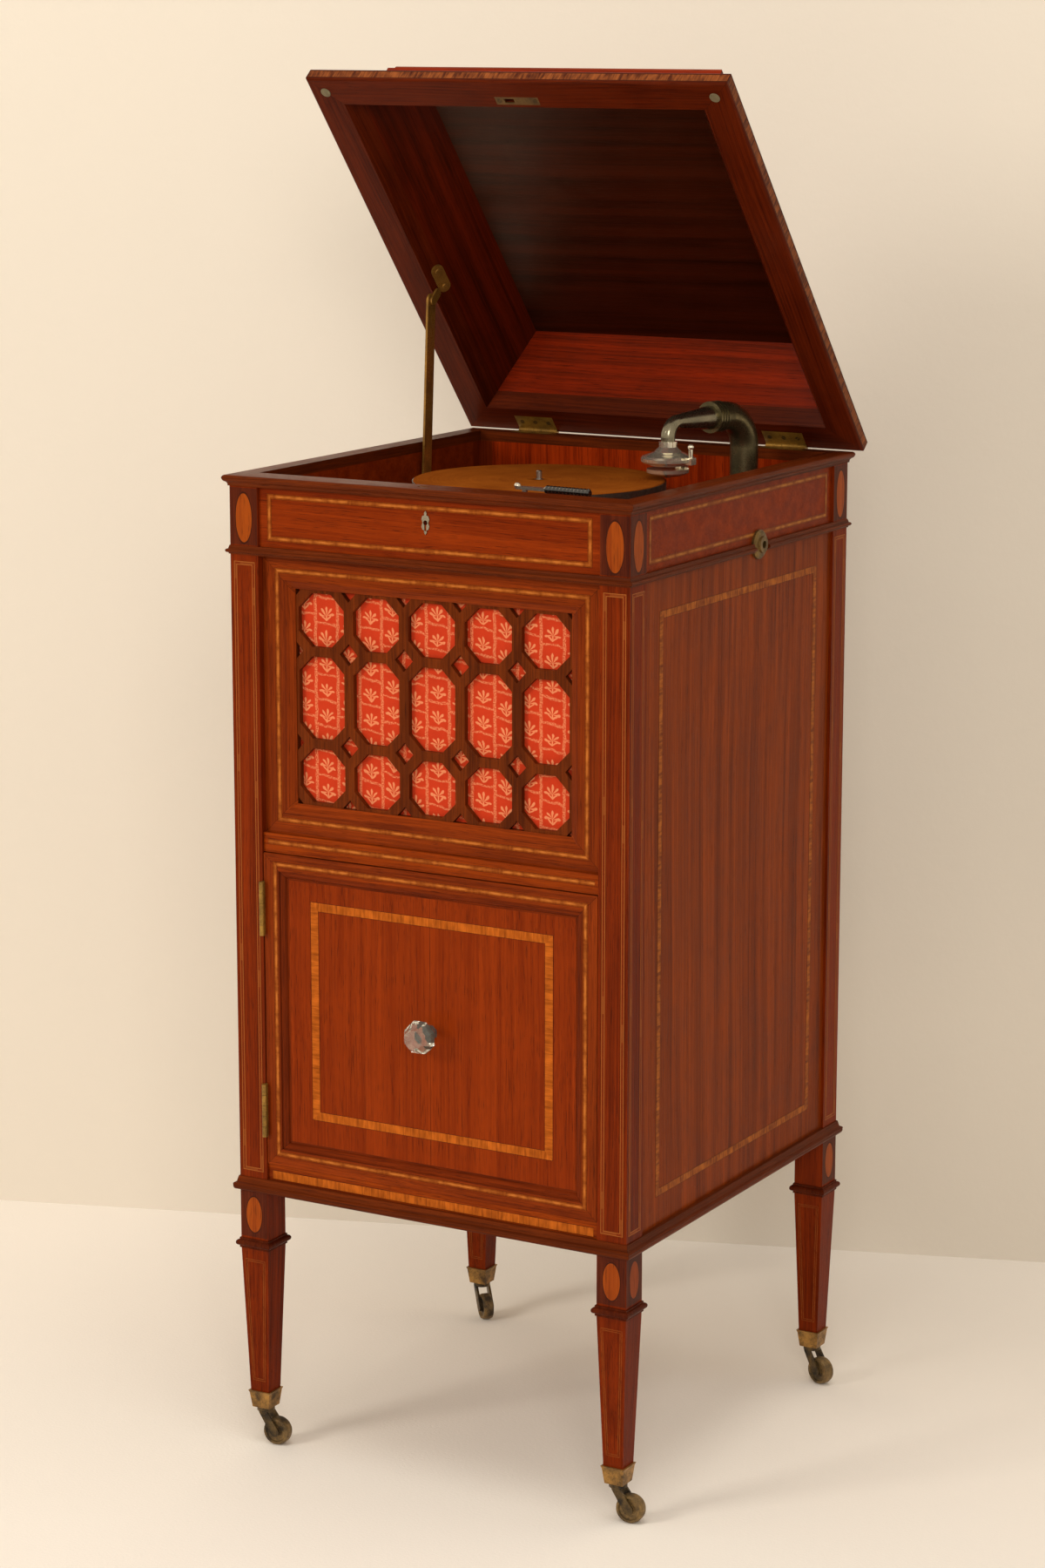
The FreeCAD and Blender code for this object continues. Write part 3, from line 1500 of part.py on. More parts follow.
def bent_tube(radius, bore, start, up_end, way, bend_r, run_out):
    """A tube that rises to a level bend and runs out along way."""
    corner = up_end.add(vec(0, 0, bend_r)).add(way * bend_r)
    side = math.cos(math.radians(45)) * bend_r
    middle = up_end.add(vec(0, 0, side)).add(way * (bend_r - side))
    tip = corner.add(way * run_out)
    path = Part.Wire([Part.LineSegment(start, up_end).toShape(), Part.Arc(up_end, middle, corner).toShape(),
                      Part.LineSegment(corner, tip).toShape()])
    run = up_end.sub(start)
    outer = path.makePipeShell([Part.Wire([Part.makeCircle(radius, start, run)])], True, False)
    inner = path.makePipeShell([Part.Wire([Part.makeCircle(bore, start, run)])], True, False)
    return outer.cut(inner)


def gooseneck():
    """The bent neck with its ringed collar, on the carrier that swings about an upright pin."""
    way, length = arm_way()
    foot = vec(neck_x, neck_y, neck_foot_z)
    up_end = vec(neck_x, neck_y, arm_z - neck_bend_r)
    run_out = length - neck_bend_r - elbow_bend_r - arm_tube_l()
    neck = bent_tube(neck_r, neck_bore_r, foot, up_end, way, neck_bend_r, run_out - collar_l)
    ring_at = vec(neck_x, neck_y, arm_z).add(way * (neck_bend_r + run_out - collar_l))
    collar = rod(collar_r, ring_at, ring_at.add(way * collar_l))
    groove_w = collar_l / (2 * collar_rings + 1)
    for k in range(collar_rings):
        a = ring_at.add(way * (groove_w * (2 * k + 1)))
        b = a.add(way * groove_w)
        collar = collar.cut(rod(collar_r + overrun, a, b).cut(rod(collar_r - collar_groove, a, b)))
    collar = collar.cut(rod(neck_bore_r, ring_at, ring_at.add(way * collar_l)))
    carrier_z = neck_foot_z
    arm = link_plate(vec(swing_x, swing_y, 0), swing_boss_r, vec(neck_x, neck_y, 0),
                     neck_r + carrier_t / 2, carrier_t)
    arm.translate(vec(0, 0, carrier_z))
    arm = arm.cut(rod(neck_bore_r, vec(neck_x, neck_y, carrier_z),
                      vec(neck_x, neck_y, carrier_z + carrier_t)))
    bearing_foot = board_foot_z - swing_bearing_h
    boss = rod(swing_boss_r, vec(swing_x, swing_y, carrier_z),
               vec(swing_x, swing_y, bearing_foot - seam_gap))
    pin = rod(swing_pin_r, vec(swing_x, swing_y, carrier_z), vec(swing_x, swing_y, board_foot_z - seam_gap))
    return fused([neck, collar, arm, boss, pin])


def arm_tube_l():
    """Length of the tapered tube between the collar and the elbow."""
    return tube_share * arm_way()[1]


def arm_tube():
    """The tapered tube, open inside, that turns down through an elbow to the sound box."""
    way, length = arm_way()
    start = vec(neck_x, neck_y, arm_z).add(way * (length - elbow_bend_r - arm_tube_l()))
    drop = arm_z - elbow_bend_r
    end = start.add(way * arm_tube_l())
    cone = Part.makeCone(tube_r, elbow_r, arm_tube_l(), start, way)
    hollow = Part.makeCone(tube_r - tube_wall, elbow_r - tube_wall, arm_tube_l(), start, way)
    side = math.cos(math.radians(45)) * elbow_bend_r
    axis = vec(arm_axis_x, arm_axis_y, 0)
    low = vec(arm_axis_x, arm_axis_y, drop)
    middle = low.add(vec(0, 0, side)).sub(way * (elbow_bend_r - side))
    foot = vec(arm_axis_x, arm_axis_y, elbow_foot_z)
    path = Part.Wire([Part.Arc(end, middle, low).toShape(), Part.LineSegment(low, foot).toShape()])
    outer = path.makePipeShell([Part.Wire([Part.makeCircle(elbow_r, end, way)])], True, False)
    inner = path.makePipeShell([Part.Wire([Part.makeCircle(elbow_r - tube_wall, end, way)])], True, False)
    return fused([cone, outer]).cut(hollow).cut(inner)


def sound_box():
    """The disc-shaped sound box below the elbow, with its limit post and the hinge lugs of the weight."""
    top = elbow_foot_z
    rim_top = box_foot_z + box_band_h + box_rim_h
    foot = box_foot_z + box_band_h
    rise = top - rim_top
    rim_shares = ((0.93, 0.0), (1.0, 0.25), (1.0, 0.7), (0.93, 1.0))
    dome_shares = ((0.72, 0.14), (0.52, 0.3))
    flare_shares = ((1.1, 0.56), (1.0, 0.62), (1.0, 1.0))
    profile = [(0.0, box_foot_z), (box_band_r, box_foot_z), (box_band_r, foot)]
    profile += shared(rim_shares, box_r, box_rim_h, foot)
    profile += shared(dome_shares, box_r, rise, rim_top)
    profile += shared(flare_shares, box_neck_r, rise, rim_top)
    profile.append((0.0, top))
    body = turned(profile, vec(arm_axis_x, arm_axis_y, 0))
    way = arm_way()[0]
    across = vec(-way.y, way.x, 0)
    spot = vec(arm_axis_x, arm_axis_y, 0).add(across * (box_r + box_block_w / 4))
    half = box_block_w / 2
    pad = block(-half, half, -half, half, foot, rim_top)
    pad.rotate(vec(0, 0, 0), Z_AXIS, math.degrees(math.atan2(across.y, across.x)))
    pad.translate(spot)
    post = rod(box_post_r, spot.add(vec(0, 0, rim_top)), spot.add(vec(0, 0, rim_top + box_post_h)))
    ball = Part.makeSphere(box_ball_r, spot.add(vec(0, 0, rim_top + box_post_h)))
    parts = [body, pad, post, ball]
    eye = weight_axis()
    for side in (-1, 1):
        off = side * (weight_lug_w / 2 + weight_gap)
        far = off + side * weight_lug_w / 2
        lug = rod(weight_eye_r, eye.add(across * off), eye.add(across * far))
        start = min(off, far)
        web = block(start, start + abs(far - off), -weight_eye_r, weight_eye_r, eye.z, foot + box_rim_h / 2)
        web.rotate(vec(0, 0, 0), Z_AXIS, math.degrees(math.atan2(across.y, across.x)))
        web.translate(vec(eye.x, eye.y, 0))
        parts += [lug, web]
    pin = rod(weight_pin_r, eye.add(across * (-weight_pin_l / 2)), eye.add(across * (weight_pin_l / 2)))
    parts.append(pin)
    return fused(parts)


def weight_axis():
    """A point on the hinge of the floating weight, at the arm side of the sound box."""
    way = arm_way()[0]
    z = box_foot_z + box_band_h - weight_eye_r - weight_gap
    return vec(arm_axis_x, arm_axis_y, z).sub(way * (box_r - weight_eye_r))


def sound_weight():
    """The floating weight with the stylus, hung on the pin behind it."""
    foot, top = weight_foot_z, weight_foot_z + weight_h
    shares = ((0.0, 0.0), (0.12, 0.0), (0.2, 0.16), (0.62, 0.24), (0.94, 0.5), (1.0, 0.62), (1.0, 1.0),
              (0.0, 1.0))
    profile = shared(shares, weight_r, weight_h, foot)
    body = turned(profile, vec(arm_axis_x, arm_axis_y, 0))
    way = arm_way()[0]
    across = vec(-way.y, way.x, 0)
    eye = weight_axis()
    half = weight_lug_w / 2
    lug = rod(weight_eye_r, eye.add(across * -half), eye.add(across * half))
    neck = block(-half, half, -weight_eye_r - weight_r / 4, weight_eye_r, top - weight_h / 3, eye.z)
    neck.rotate(vec(0, 0, 0), Z_AXIS, math.degrees(math.atan2(across.y, across.x)))
    neck.translate(vec(eye.x, eye.y, 0))
    bore = rod(weight_pin_r + running_gap, eye.add(across * -weight_pin_l), eye.add(across * weight_pin_l))
    return fused([body, lug, neck]).cut(bore)


def mouth_centre():
    """Where the horn mouth stands at rest: half the swing to the right of the grille's middle."""
    half = math.radians(swing_in_deg / 2)
    out_y = in_front + mouth_w / 2 * math.sin(half) + mouth_behind - swing_y
    out_x = -swing_x
    x = swing_x + out_x * math.cos(half) - out_y * math.sin(half)
    y = swing_y + out_x * math.sin(half) + out_y * math.cos(half)
    return vec(x, y, mouth_z), half


def horn_section(centre, way, level, width, height, power):
    """A closed rounded outline, square to way, as points of a superellipse."""
    rise = way.cross(level)
    points = []
    count = 16
    for k in range(count):
        angle = 2 * math.pi * k / count
        c, s = math.cos(angle), math.sin(angle)
        u = width / 2 * math.copysign(abs(c) ** (2 / power), c)
        v = height / 2 * math.copysign(abs(s) ** (2 / power), s)
        points.append(centre.add(level * u).add(rise * v))
    curve = Part.BSplineCurve()
    curve.interpolate(Points=points, PeriodicFlag=True)
    return Part.Wire([curve.toShape()])


def horn_stations():
    """Centre, direction, width, height and squareness down the horn, from the neck to the mouth."""
    mouth, half = mouth_centre()
    out = vec(math.sin(half), -math.cos(half), 0)
    neck = vec(neck_x, neck_y, neck_foot_z)
    fall = neck.z - mouth.z
    run = vec(mouth.x - neck.x, mouth.y - neck.y, 0)
    d = 2 * neck_r
    path_shares = ((0.0, 0.0, 0.0, 0.0, 0.0, 2.0), (0.0, 0.24, 0.0, 0.05, 0.06, 2.0),
                   (0.05, 0.53, 0.45, 0.14, 0.17, 2.1), (0.2, 0.8, 0.8, 0.29, 0.34, 2.3),
                   (0.46, 0.96, 0.97, 0.53, 0.6, 2.7), (0.8, 1.0, 1.0, 0.85, 0.88, 3.4),
                   (1.0, 1.0, 1.0, 1.0, 1.0, 4.0))
    stations = []
    for along_share, down_share, level_share, wide_share, high_share, power in path_shares:
        centre = neck.add(run * along_share).sub(vec(0, 0, fall * down_share))
        flat = run * (1.0 / run.Length) * (1 - along_share) + out * along_share
        flat = flat * (1.0 / flat.Length)
        way = flat * level_share + vec(0, 0, -(1 - level_share))
        way = way * (1.0 / way.Length)
        level = vec(-flat.y, flat.x, 0)
        stations.append((centre, way, level, d + (mouth_w - d) * wide_share, d + (mouth_h - d) * high_share,
                         power))
    return stations


def horn():
    """The flared horn from the neck to the wide mouth behind the grille."""
    outer, inner = [], []
    for centre, way, level, width, height, power in horn_stations():
        outer.append(horn_section(centre, way, level, width + 2 * horn_wall, height + 2 * horn_wall, power))
        inner.append(horn_section(centre, way, level, width, height, power))
    skin = Part.makeLoft(outer, True, False)
    space = Part.makeLoft(inner, True, False)
    return skin.cut(space)


# Start lever

def lever_way():
    angle = math.radians(lever_turn_deg)
    return vec(math.cos(angle), math.sin(angle), 0)


def start_lever():
    """A flat arm on an upright shaft that passes through the motor board to the brake."""
    way = lever_way()
    shaft = rod(lever_r, vec(lever_x, lever_y, board_foot_z - overrun), vec(lever_x, lever_y, lever_z))
    boss = rod(lever_boss_r, vec(lever_x, lever_y, board_top_z + seam_gap),
               vec(lever_x, lever_y, board_top_z + lever_arm_t))
    tail = vec(lever_x, lever_y, 0).sub(way * lever_tail_l)
    tip = vec(lever_x, lever_y, 0).add(way * lever_arm_l)
    arm = link_plate(tail, lever_arm_r * lever_tail_share, tip, lever_arm_r, lever_arm_t)
    arm.translate(vec(0, 0, lever_z - lever_arm_t / 2))
    knob = Part.makeSphere(lever_arm_r * lever_knob_share, vec(tail.x, tail.y, lever_z + lever_arm_t / 2))
    tang = rod(lever_arm_r / 2, vec(tip.x, tip.y, lever_z),
               vec(tip.x, tip.y, lever_z).add(way * handle_l / 2))
    return fused([shaft, boss, arm, knob, tang])


def lever_handle():
    """A ribbed grip over the end of the arm."""
    way = lever_way()
    pitch = handle_l / handle_ribs
    butt_share, tip_share = 0.8, 0.7
    rib_foot_share, rib_top_share, groove_share = 0.3, 0.65, 0.9
    profile = [(0.0, 0.0), (handle_r * butt_share, 0.0)]
    for k in range(handle_ribs):
        profile.append((handle_r, pitch * (k + rib_foot_share)))
        profile.append((handle_r, pitch * (k + rib_top_share)))
        profile.append((handle_r - handle_rib_depth, pitch * (k + groove_share)))
    profile[-1] = (handle_r * tip_share, handle_l)
    profile.append((0.0, handle_l))
    shape = turned(profile, vec(0, 0, 0))
    shape.rotate(vec(0, 0, 0), Y_AXIS, 90)
    shape.rotate(vec(0, 0, 0), Z_AXIS, lever_turn_deg)
    start = vec(lever_x, lever_y, lever_z).add(way * (lever_arm_l + lever_arm_r * lever_tail_share))
    shape.translate(start)
    tip = vec(lever_x, lever_y, lever_z).add(way * lever_arm_l)
    tang = rod(lever_arm_r / 2, tip, tip.add(way * handle_l / 2))
    arm = link_plate(vec(lever_x, lever_y, 0).sub(way * lever_tail_l), lever_arm_r * lever_tail_share,
                     vec(tip.x, tip.y, 0), lever_arm_r, lever_arm_t)
    arm.translate(vec(0, 0, lever_z - lever_arm_t / 2))
    return shape.cut(tang).cut(arm)


def save(name, shape):
    """Puts a piece in the part's frame and writes it."""
    shape.translate(vec(0, origin_y, 0))
    shape.exportStep("parts/" + name + ".step")


def build():
    os.makedirs("parts", exist_ok=True)
    makers = (corner_posts, leg_collars, side_panels, back_panel, frieze_boards, rim_moulding, mid_moulding,
              base_moulding, front_rails, grille_frame, grille_cloth, motor_board, board_cleats,
              floor_boards, record_dividers, lock_case, lock_bolt, keyhole_escutcheon, crank_escutcheon,
              post_hinges, door_hinge_leaves, rim_hinges, lid_hinge_leaves, lid_frame, lid_sides, lid_top,
              lid_bumpers, lock_strike, stay_bracket, lid_stay, stay_guide, door_frame, door_moulding,
              door_panel, door_knob, caster_cups, platter, platter_felt, spindle, spring_barrel,
              spring_arbor, winding_shaft, governor, motor_frame, gooseneck, arm_tube, sound_box,
              sound_weight, horn, start_lever, lever_handle)
    for maker in makers:
        save(maker.__name__, maker())
    save("grille_fretwork", fretwork())
    for name, side, end in (("front_left", -1, -1), ("front_right", 1, -1),
                            ("back_right", 1, 1), ("back_left", -1, 1)):
        turn = caster_turn_deg[name]
        save("caster_fork_" + name, caster_fork(side * leg_x, end * leg_y, turn))
        save("caster_wheel_" + name, caster_wheel(side * leg_x, end * leg_y, turn))


build()
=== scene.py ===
import math

import bmesh
import bpy
from mathutils import Matrix, Vector


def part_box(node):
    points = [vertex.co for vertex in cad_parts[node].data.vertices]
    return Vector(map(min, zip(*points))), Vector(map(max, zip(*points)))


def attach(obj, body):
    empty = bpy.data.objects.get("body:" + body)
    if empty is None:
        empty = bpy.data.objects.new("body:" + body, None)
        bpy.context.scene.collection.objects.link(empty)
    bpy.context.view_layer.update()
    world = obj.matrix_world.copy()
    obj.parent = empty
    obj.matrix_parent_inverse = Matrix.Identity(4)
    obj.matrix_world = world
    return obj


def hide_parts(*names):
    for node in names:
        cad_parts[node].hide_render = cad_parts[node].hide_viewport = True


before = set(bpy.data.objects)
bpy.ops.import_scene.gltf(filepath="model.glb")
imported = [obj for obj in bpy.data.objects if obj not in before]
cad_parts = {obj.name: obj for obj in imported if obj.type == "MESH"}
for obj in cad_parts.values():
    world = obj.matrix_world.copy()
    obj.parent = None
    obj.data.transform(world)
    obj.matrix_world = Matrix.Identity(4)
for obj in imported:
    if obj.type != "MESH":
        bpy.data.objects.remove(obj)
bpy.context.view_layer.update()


# The room is a cream floor and a plain cream wall that runs off at an angle behind the cabinet.
# A soft window and a weaker one across from it light it from the front, and a pale ceiling from
# above. Two small lamps are there for the sheen they leave on the polish.
def tone(code):
    """The linear colour of a hex colour as a screen shows it."""
    seen = [int(code[k:k + 2], 16) / 255 for k in (0, 2, 4)]
    return tuple(c / 12.92 if c <= 0.04045 else ((c + 0.055) / 1.055) ** 2.4 for c in seen) + (1.0,)


def put(tree, kind, inputs=(), **settings):
    """One shader node. Its inputs take plain values or the sockets of other nodes."""
    node = tree.nodes.new(kind)
    for key, value in settings.items():
        setattr(node, key, value)
    for key, value in dict(inputs).items():
        if isinstance(value, bpy.types.NodeSocket):
            tree.links.new(value, node.inputs[key])
        else:
            node.inputs[key].default_value = value
    return node


def sums(tree, operation, a, b=0.0, c=0.0):
    """One step of arithmetic on numbers."""
    return put(tree, "ShaderNodeMath", {0: a, 1: b, 2: c}, operation=operation).outputs[0]


def vectors(tree, operation, a, b=(0.0, 0.0, 0.0)):
    """One step of arithmetic on vectors."""
    return put(tree, "ShaderNodeVectorMath", {0: a, 1: b}, operation=operation).outputs[0]


def spread(tree, value, low, high, to_low=0.0, to_high=1.0):
    """Stretches one range of a value to another, held at its ends."""
    inputs = {0: value, 1: low, 2: high, 3: to_low, 4: to_high}
    return put(tree, "ShaderNodeMapRange", inputs).outputs[0]


def noise(tree, vector, scale, detail=2.0, rough=0.5):
    """Noise of so many waves to the metre along each axis."""
    stretched = vectors(tree, "MULTIPLY", vector, scale)
    inputs = {"Vector": stretched, "Scale": 1.0, "Detail": detail, "Roughness": rough}
    return put(tree, "ShaderNodeTexNoise", inputs).outputs[0]


def effect(name, inputs, outputs):
    """A shader group with named inputs and outputs, still empty."""
    tree = bpy.data.node_groups.new(name, "ShaderNodeTree")
    for label, kind, value in inputs:
        socket = tree.interface.new_socket(label, in_out="INPUT", socket_type="NodeSocket" + kind)
        if value is not None:
            socket.default_value = value
    for label, kind in outputs:
        tree.interface.new_socket(label, in_out="OUTPUT", socket_type="NodeSocket" + kind)
    return tree, tree.nodes.new("NodeGroupInput").outputs, tree.nodes.new("NodeGroupOutput").inputs


def use(tree, group, **inputs):
    """The outputs of a shader group, with its inputs set."""
    node = tree.nodes.new("ShaderNodeGroup")
    node.node_tree = group
    for key, value in inputs.items():
        if isinstance(value, bpy.types.NodeSocket):
            tree.links.new(value, node.inputs[key])
        else:
            node.inputs[key].default_value = value
    return node.outputs


def material(name, **constants):
    """A material, its tree and its shader, with the shader's plain constants."""
    made = bpy.data.materials.new(name)
    made.use_nodes = True
    shader = made.node_tree.nodes["Principled BSDF"]
    for key, value in constants.items():
        shader.inputs[key.replace("_", " ")].default_value = value
    return made, made.node_tree, shader


def finish(tree, shader, looks, depth):
    """Joins an effect's colour, roughness and height to the shader."""
    tree.links.new(looks["Color"], shader.inputs["Base Color"])
    tree.links.new(looks["Roughness"], shader.inputs["Roughness"])
    bump = put(tree, "ShaderNodeBump", {"Height": looks["Height"], "Distance": depth, "Strength": 0.6})
    tree.links.new(bump.outputs[0], shader.inputs["Normal"])


def place_of(tree):
    """The object's own coordinates, in metres."""
    return tree.nodes.new("ShaderNodeTexCoord").outputs["Object"]


def mesh(name, points, faces, materials, uvs=None, smooth=False, parts=None, outward=True):
    """A mesh object. uvs holds one pair for each corner of each face, and parts each face's material.
    The faces of a closed shape are turned outwards."""
    data = bpy.data.meshes.new(name)
    data.from_pydata([tuple(p) for p in points], [], faces)
    if uvs:
        layer = data.uv_layers.new(name="UVMap")
        flat = [uv for face in uvs for uv in face]
        for loop, uv in zip(layer.data, flat):
            loop.uv = uv
    for m in materials:
        data.materials.append(m)
    if parts:
        data.polygons.foreach_set("material_index", parts)
    if outward:
        work = bmesh.new()
        work.from_mesh(data)
        bmesh.ops.recalc_face_normals(work, faces=work.faces)
        work.to_mesh(data)
        work.free()
    data.polygons.foreach_set("use_smooth", [smooth] * len(data.polygons))
    made = bpy.data.objects.new(name, data)
    bpy.context.scene.collection.objects.link(made)
    return made


paint, paint_in, paint_out = effect(
    "Painted Plaster",
    [("Vector", "Vector", None), ("Shade", "Color", (1, 1, 1, 1)), ("Grain", "Float", 60.0)],
    [("Color", "Color"), ("Roughness", "Float"), ("Height", "Float")],
)
cloudy = noise(paint, paint_in["Vector"], (1.3, 1.3, 1.3), 3.0)
grit = {"Vector": paint_in["Vector"], "Scale": paint_in["Grain"], "Detail": 5.0}
fine = put(paint, "ShaderNodeTexNoise", grit)
uneven = spread(paint, cloudy, 0.3, 0.7, 0.975, 1.0)
dimmed = put(paint, "ShaderNodeCombineXYZ", {0: uneven, 1: uneven, 2: uneven}).outputs[0]
paint.links.new(vectors(paint, "MULTIPLY", paint_in["Shade"], dimmed), paint_out["Color"])
paint.links.new(spread(paint, fine.outputs[0], 0.3, 0.7, 0.75, 0.9), paint_out["Roughness"])
paint.links.new(fine.outputs[0], paint_out["Height"])

floor_z, floor_grain, floor_depth = 0.0, 300.0, 0.0004
wall_grain, wall_depth = 90.0, 0.0006
room_w, room_h = 9.0, 3.4
wall_from, wall_turn = Vector((-0.084, 0.592, floor_z)), math.radians(19.2)
along = Vector((math.cos(wall_turn), math.sin(wall_turn), 0.0))
wall_ends = [wall_from - along * room_w / 2, wall_from + along * room_w / 2]
up = Vector((0.0, 0.0, room_h))
floor_paint, tree, shader = material("cream floor", Specular_IOR_Level=0.25)
looks = use(tree, paint, Vector=place_of(tree), Shade=tone("f4ece1"), Grain=floor_grain)
finish(tree, shader, looks, floor_depth)
wall_paint, tree, shader = material("cream wall", Specular_IOR_Level=0.2)
looks = use(tree, paint, Vector=place_of(tree), Shade=tone("e4dacb"), Grain=wall_grain)
finish(tree, shader, looks, wall_depth)
# The wall is seen only from inside the room.
clear = put(tree, "ShaderNodeBsdfTransparent")
behind = put(tree, "ShaderNodeNewGeometry").outputs["Backfacing"]
one_sided = put(tree, "ShaderNodeMixShader", {0: behind, 1: shader.outputs[0], 2: clear.outputs[0]})
tree.links.new(one_sided.outputs[0], tree.nodes["Material Output"].inputs[0])
floor_corners = [(x * room_w, y * room_w, floor_z) for x, y in ((-1, -1), (1, -1), (1, 1), (-1, 1))]
floor = mesh("floor", floor_corners, [(0, 1, 2, 3)], [floor_paint], outward=False)
wall_corners = [wall_ends[0], wall_ends[1], wall_ends[1] + up, wall_ends[0] + up]
wall = mesh("wall", wall_corners, [(0, 1, 2, 3)], [wall_paint], outward=False)


def lamp(name, at, aim, size, power, colour, mirrored=False):
    """A soft rectangular lamp. The camera doesn't see it, and the polish only if it is mirrored."""
    light = bpy.data.lights.new(name, "AREA")
    light.shape, light.size, light.size_y = "RECTANGLE", size[0], size[1]
    light.energy, light.color = power, colour
    made = bpy.data.objects.new(name, light)
    made.location = at
    made.rotation_euler = (Vector(aim) - Vector(at)).to_track_quat("-Z", "Y").to_euler()
    made.visible_camera = False
    made.visible_glossy = mirrored
    bpy.context.scene.collection.objects.link(made)


middle_of_case, window_size, ceiling_size = (0.0, 0.0, 0.7), (1.4, 1.4), (1.6, 1.6)
lamp("window", (-2.5, -4.3, 2.5), middle_of_case, window_size, 98.0, (1.0, 0.95, 0.87))
lamp("fill", (2.5, -4.0, 2.6), middle_of_case, window_size, 58.0, (1.0, 0.95, 0.88), True)
lamp("ceiling", (0.4, -0.9, 4.2), (0.1, -0.3, 0.0), ceiling_size, 41.0, (1.0, 0.96, 0.9))
lamp("glint", (-1.5, -3.6, 2.6), (0.0, 0.0, 0.9), (0.5, 0.5), 5.0, (1.0, 0.97, 0.93), True)
lamp("skylight", (0.9, 0.2, 3.4), (0.1, 0.0, 1.0), (0.45, 0.45), 4.0, (1.0, 0.98, 0.95), True)
world = bpy.data.worlds.new("room")
bpy.context.scene.world = world
world.use_nodes = True
tree = world.node_tree
rays = put(tree, "ShaderNodeLightPath")
seen = sums(tree, "MAXIMUM", rays.outputs["Is Camera Ray"], rays.outputs["Is Glossy Ray"])
seen = sums(tree, "MAXIMUM", seen, rays.outputs["Is Transmission Ray"])
lit = put(tree, "ShaderNodeBackground", {"Color": (1.0, 0.95, 0.87, 1.0), "Strength": 0.5})
backdrop = put(tree, "ShaderNodeBackground", {"Color": tone("e8dac6"), "Strength": 1.0})
shown = put(tree, "ShaderNodeMixShader", {0: seen, 1: lit.outputs[0], 2: backdrop.outputs[0]})
tree.links.new(shown.outputs[0], tree.nodes["World Output"].inputs[0])
bpy.context.scene.view_settings.view_transform = "Standard"

# The camera stands to the right of the cabinet's front, above its rim, and looks a little down.
eye = (1.89353, -3.36888, 1.50096)
looks_down, turned_left = math.radians(11.752), math.radians(29.749)
camera = bpy.data.objects.new("camera", bpy.data.cameras.new("camera"))
camera.data.lens, camera.data.sensor_width = 85.81, 36.0
camera.location = eye
camera.rotation_euler = (math.pi / 2 - looks_down, 0.0, turned_left)
camera.data.clip_end = 40.0
bpy.context.scene.collection.objects.link(camera)
bpy.context.scene.camera = camera


# The case is of ribbon-striped mahogany: square posts that run down into the legs, veneered
# panels and frieze, and mitred mouldings. It is stained red-brown and French polished.
def mixed(tree, share, a, b):
    """Blends colour a towards colour b."""
    return put(tree, "ShaderNodeMix", {0: share, 6: a, 7: b}, data_type="RGBA").outputs[2]


figure, wood, made_of = effect(
    "Mahogany Figure",
    [("Vector", "Vector", None), ("Dark", "Color", (0, 0, 0, 1)), ("Light", "Color", (1, 1, 1, 1)),
     ("Ribbon", "Float", 0.4), ("Joint", "Float", 0.0)],
    [("Color", "Color"), ("Roughness", "Float"), ("Height", "Float")],
)
bend = put(figure, "ShaderNodeTexNoise", {"Vector": wood["Vector"], "Scale": 1.6, "Detail": 2.0})
grain_drift = (0.03, 0.03, 0.0)
drift = vectors(figure, "MULTIPLY", bend.outputs["Color"], grain_drift)
path = vectors(figure, "ADD", wood["Vector"], drift)
streak = noise(figure, path, (420.0, 420.0, 2.6), 4.0, 0.65)
ribbon = noise(figure, path, (70.0, 70.0, 1.1), 2.0)
mottle = noise(figure, path, (26.0, 26.0, 17.0), 2.0)
pores = noise(figure, path, (1700.0, 1700.0, 40.0), 2.0)
share = sums(figure, "MULTIPLY_ADD", spread(figure, ribbon, 0.32, 0.68), wood["Ribbon"],
             sums(figure, "MULTIPLY", spread(figure, streak, 0.3, 0.7), 0.55))
share = sums(figure, "MULTIPLY_ADD", spread(figure, mottle, 0.3, 0.7), 0.16, share)
colour = mixed(figure, spread(figure, share, 0.25, 0.95), wood["Dark"], wood["Light"])
pore = spread(figure, pores, 0.34, 0.42, 0.55, 0.0)
colour = mixed(figure, sums(figure, "MAXIMUM", pore, wood["Joint"]), colour, tone("2a0c05"))
rough = sums(figure, "MULTIPLY_ADD", pore, 0.2, spread(figure, mottle, 0.3, 0.7, 0.3, 0.4))
figure.links.new(colour, made_of["Color"])
figure.links.new(rough, made_of["Roughness"])
figure.links.new(sums(figure, "SUBTRACT", sums(figure, "MULTIPLY", streak, 0.5), pore), made_of["Height"])

# On a mitred frame the grain runs along each piece, and a dark line marks the joint of two.
mitre, frame_in, frame_out = effect(
    "Mitred Grain",
    [("Vector", "Vector", None), ("Middle", "Vector", (0, 0, 0)), ("Half", "Vector", (1, 1, 0))],
    [("Vector", "Vector"), ("Joint", "Float"), ("Side", "Float")],
)
centred = vectors(mitre, "SUBTRACT", frame_in["Vector"], frame_in["Middle"])
over = vectors(mitre, "SUBTRACT", vectors(mitre, "ABSOLUTE", centred), frame_in["Half"])
over = put(mitre, "ShaderNodeSeparateXYZ", {0: over}).outputs
own = put(mitre, "ShaderNodeSeparateXYZ", {0: frame_in["Vector"]}).outputs
upright = put(mitre, "ShaderNodeCombineXYZ", {0: own[0], 1: own[2], 2: own[1]}).outputs[0]
level = put(mitre, "ShaderNodeCombineXYZ", {0: own[1], 1: own[2], 2: own[0]}).outputs[0]
ahead = sums(mitre, "SUBTRACT", over[0], over[1])
on_side = sums(mitre, "GREATER_THAN", ahead)
turned = put(mitre, "ShaderNodeMix", {0: on_side, 4: level, 5: upright}, data_type="VECTOR")
joined = spread(mitre, sums(mitre, "ABSOLUTE", ahead), 0.0001, 0.0004, 0.8, 0.0)
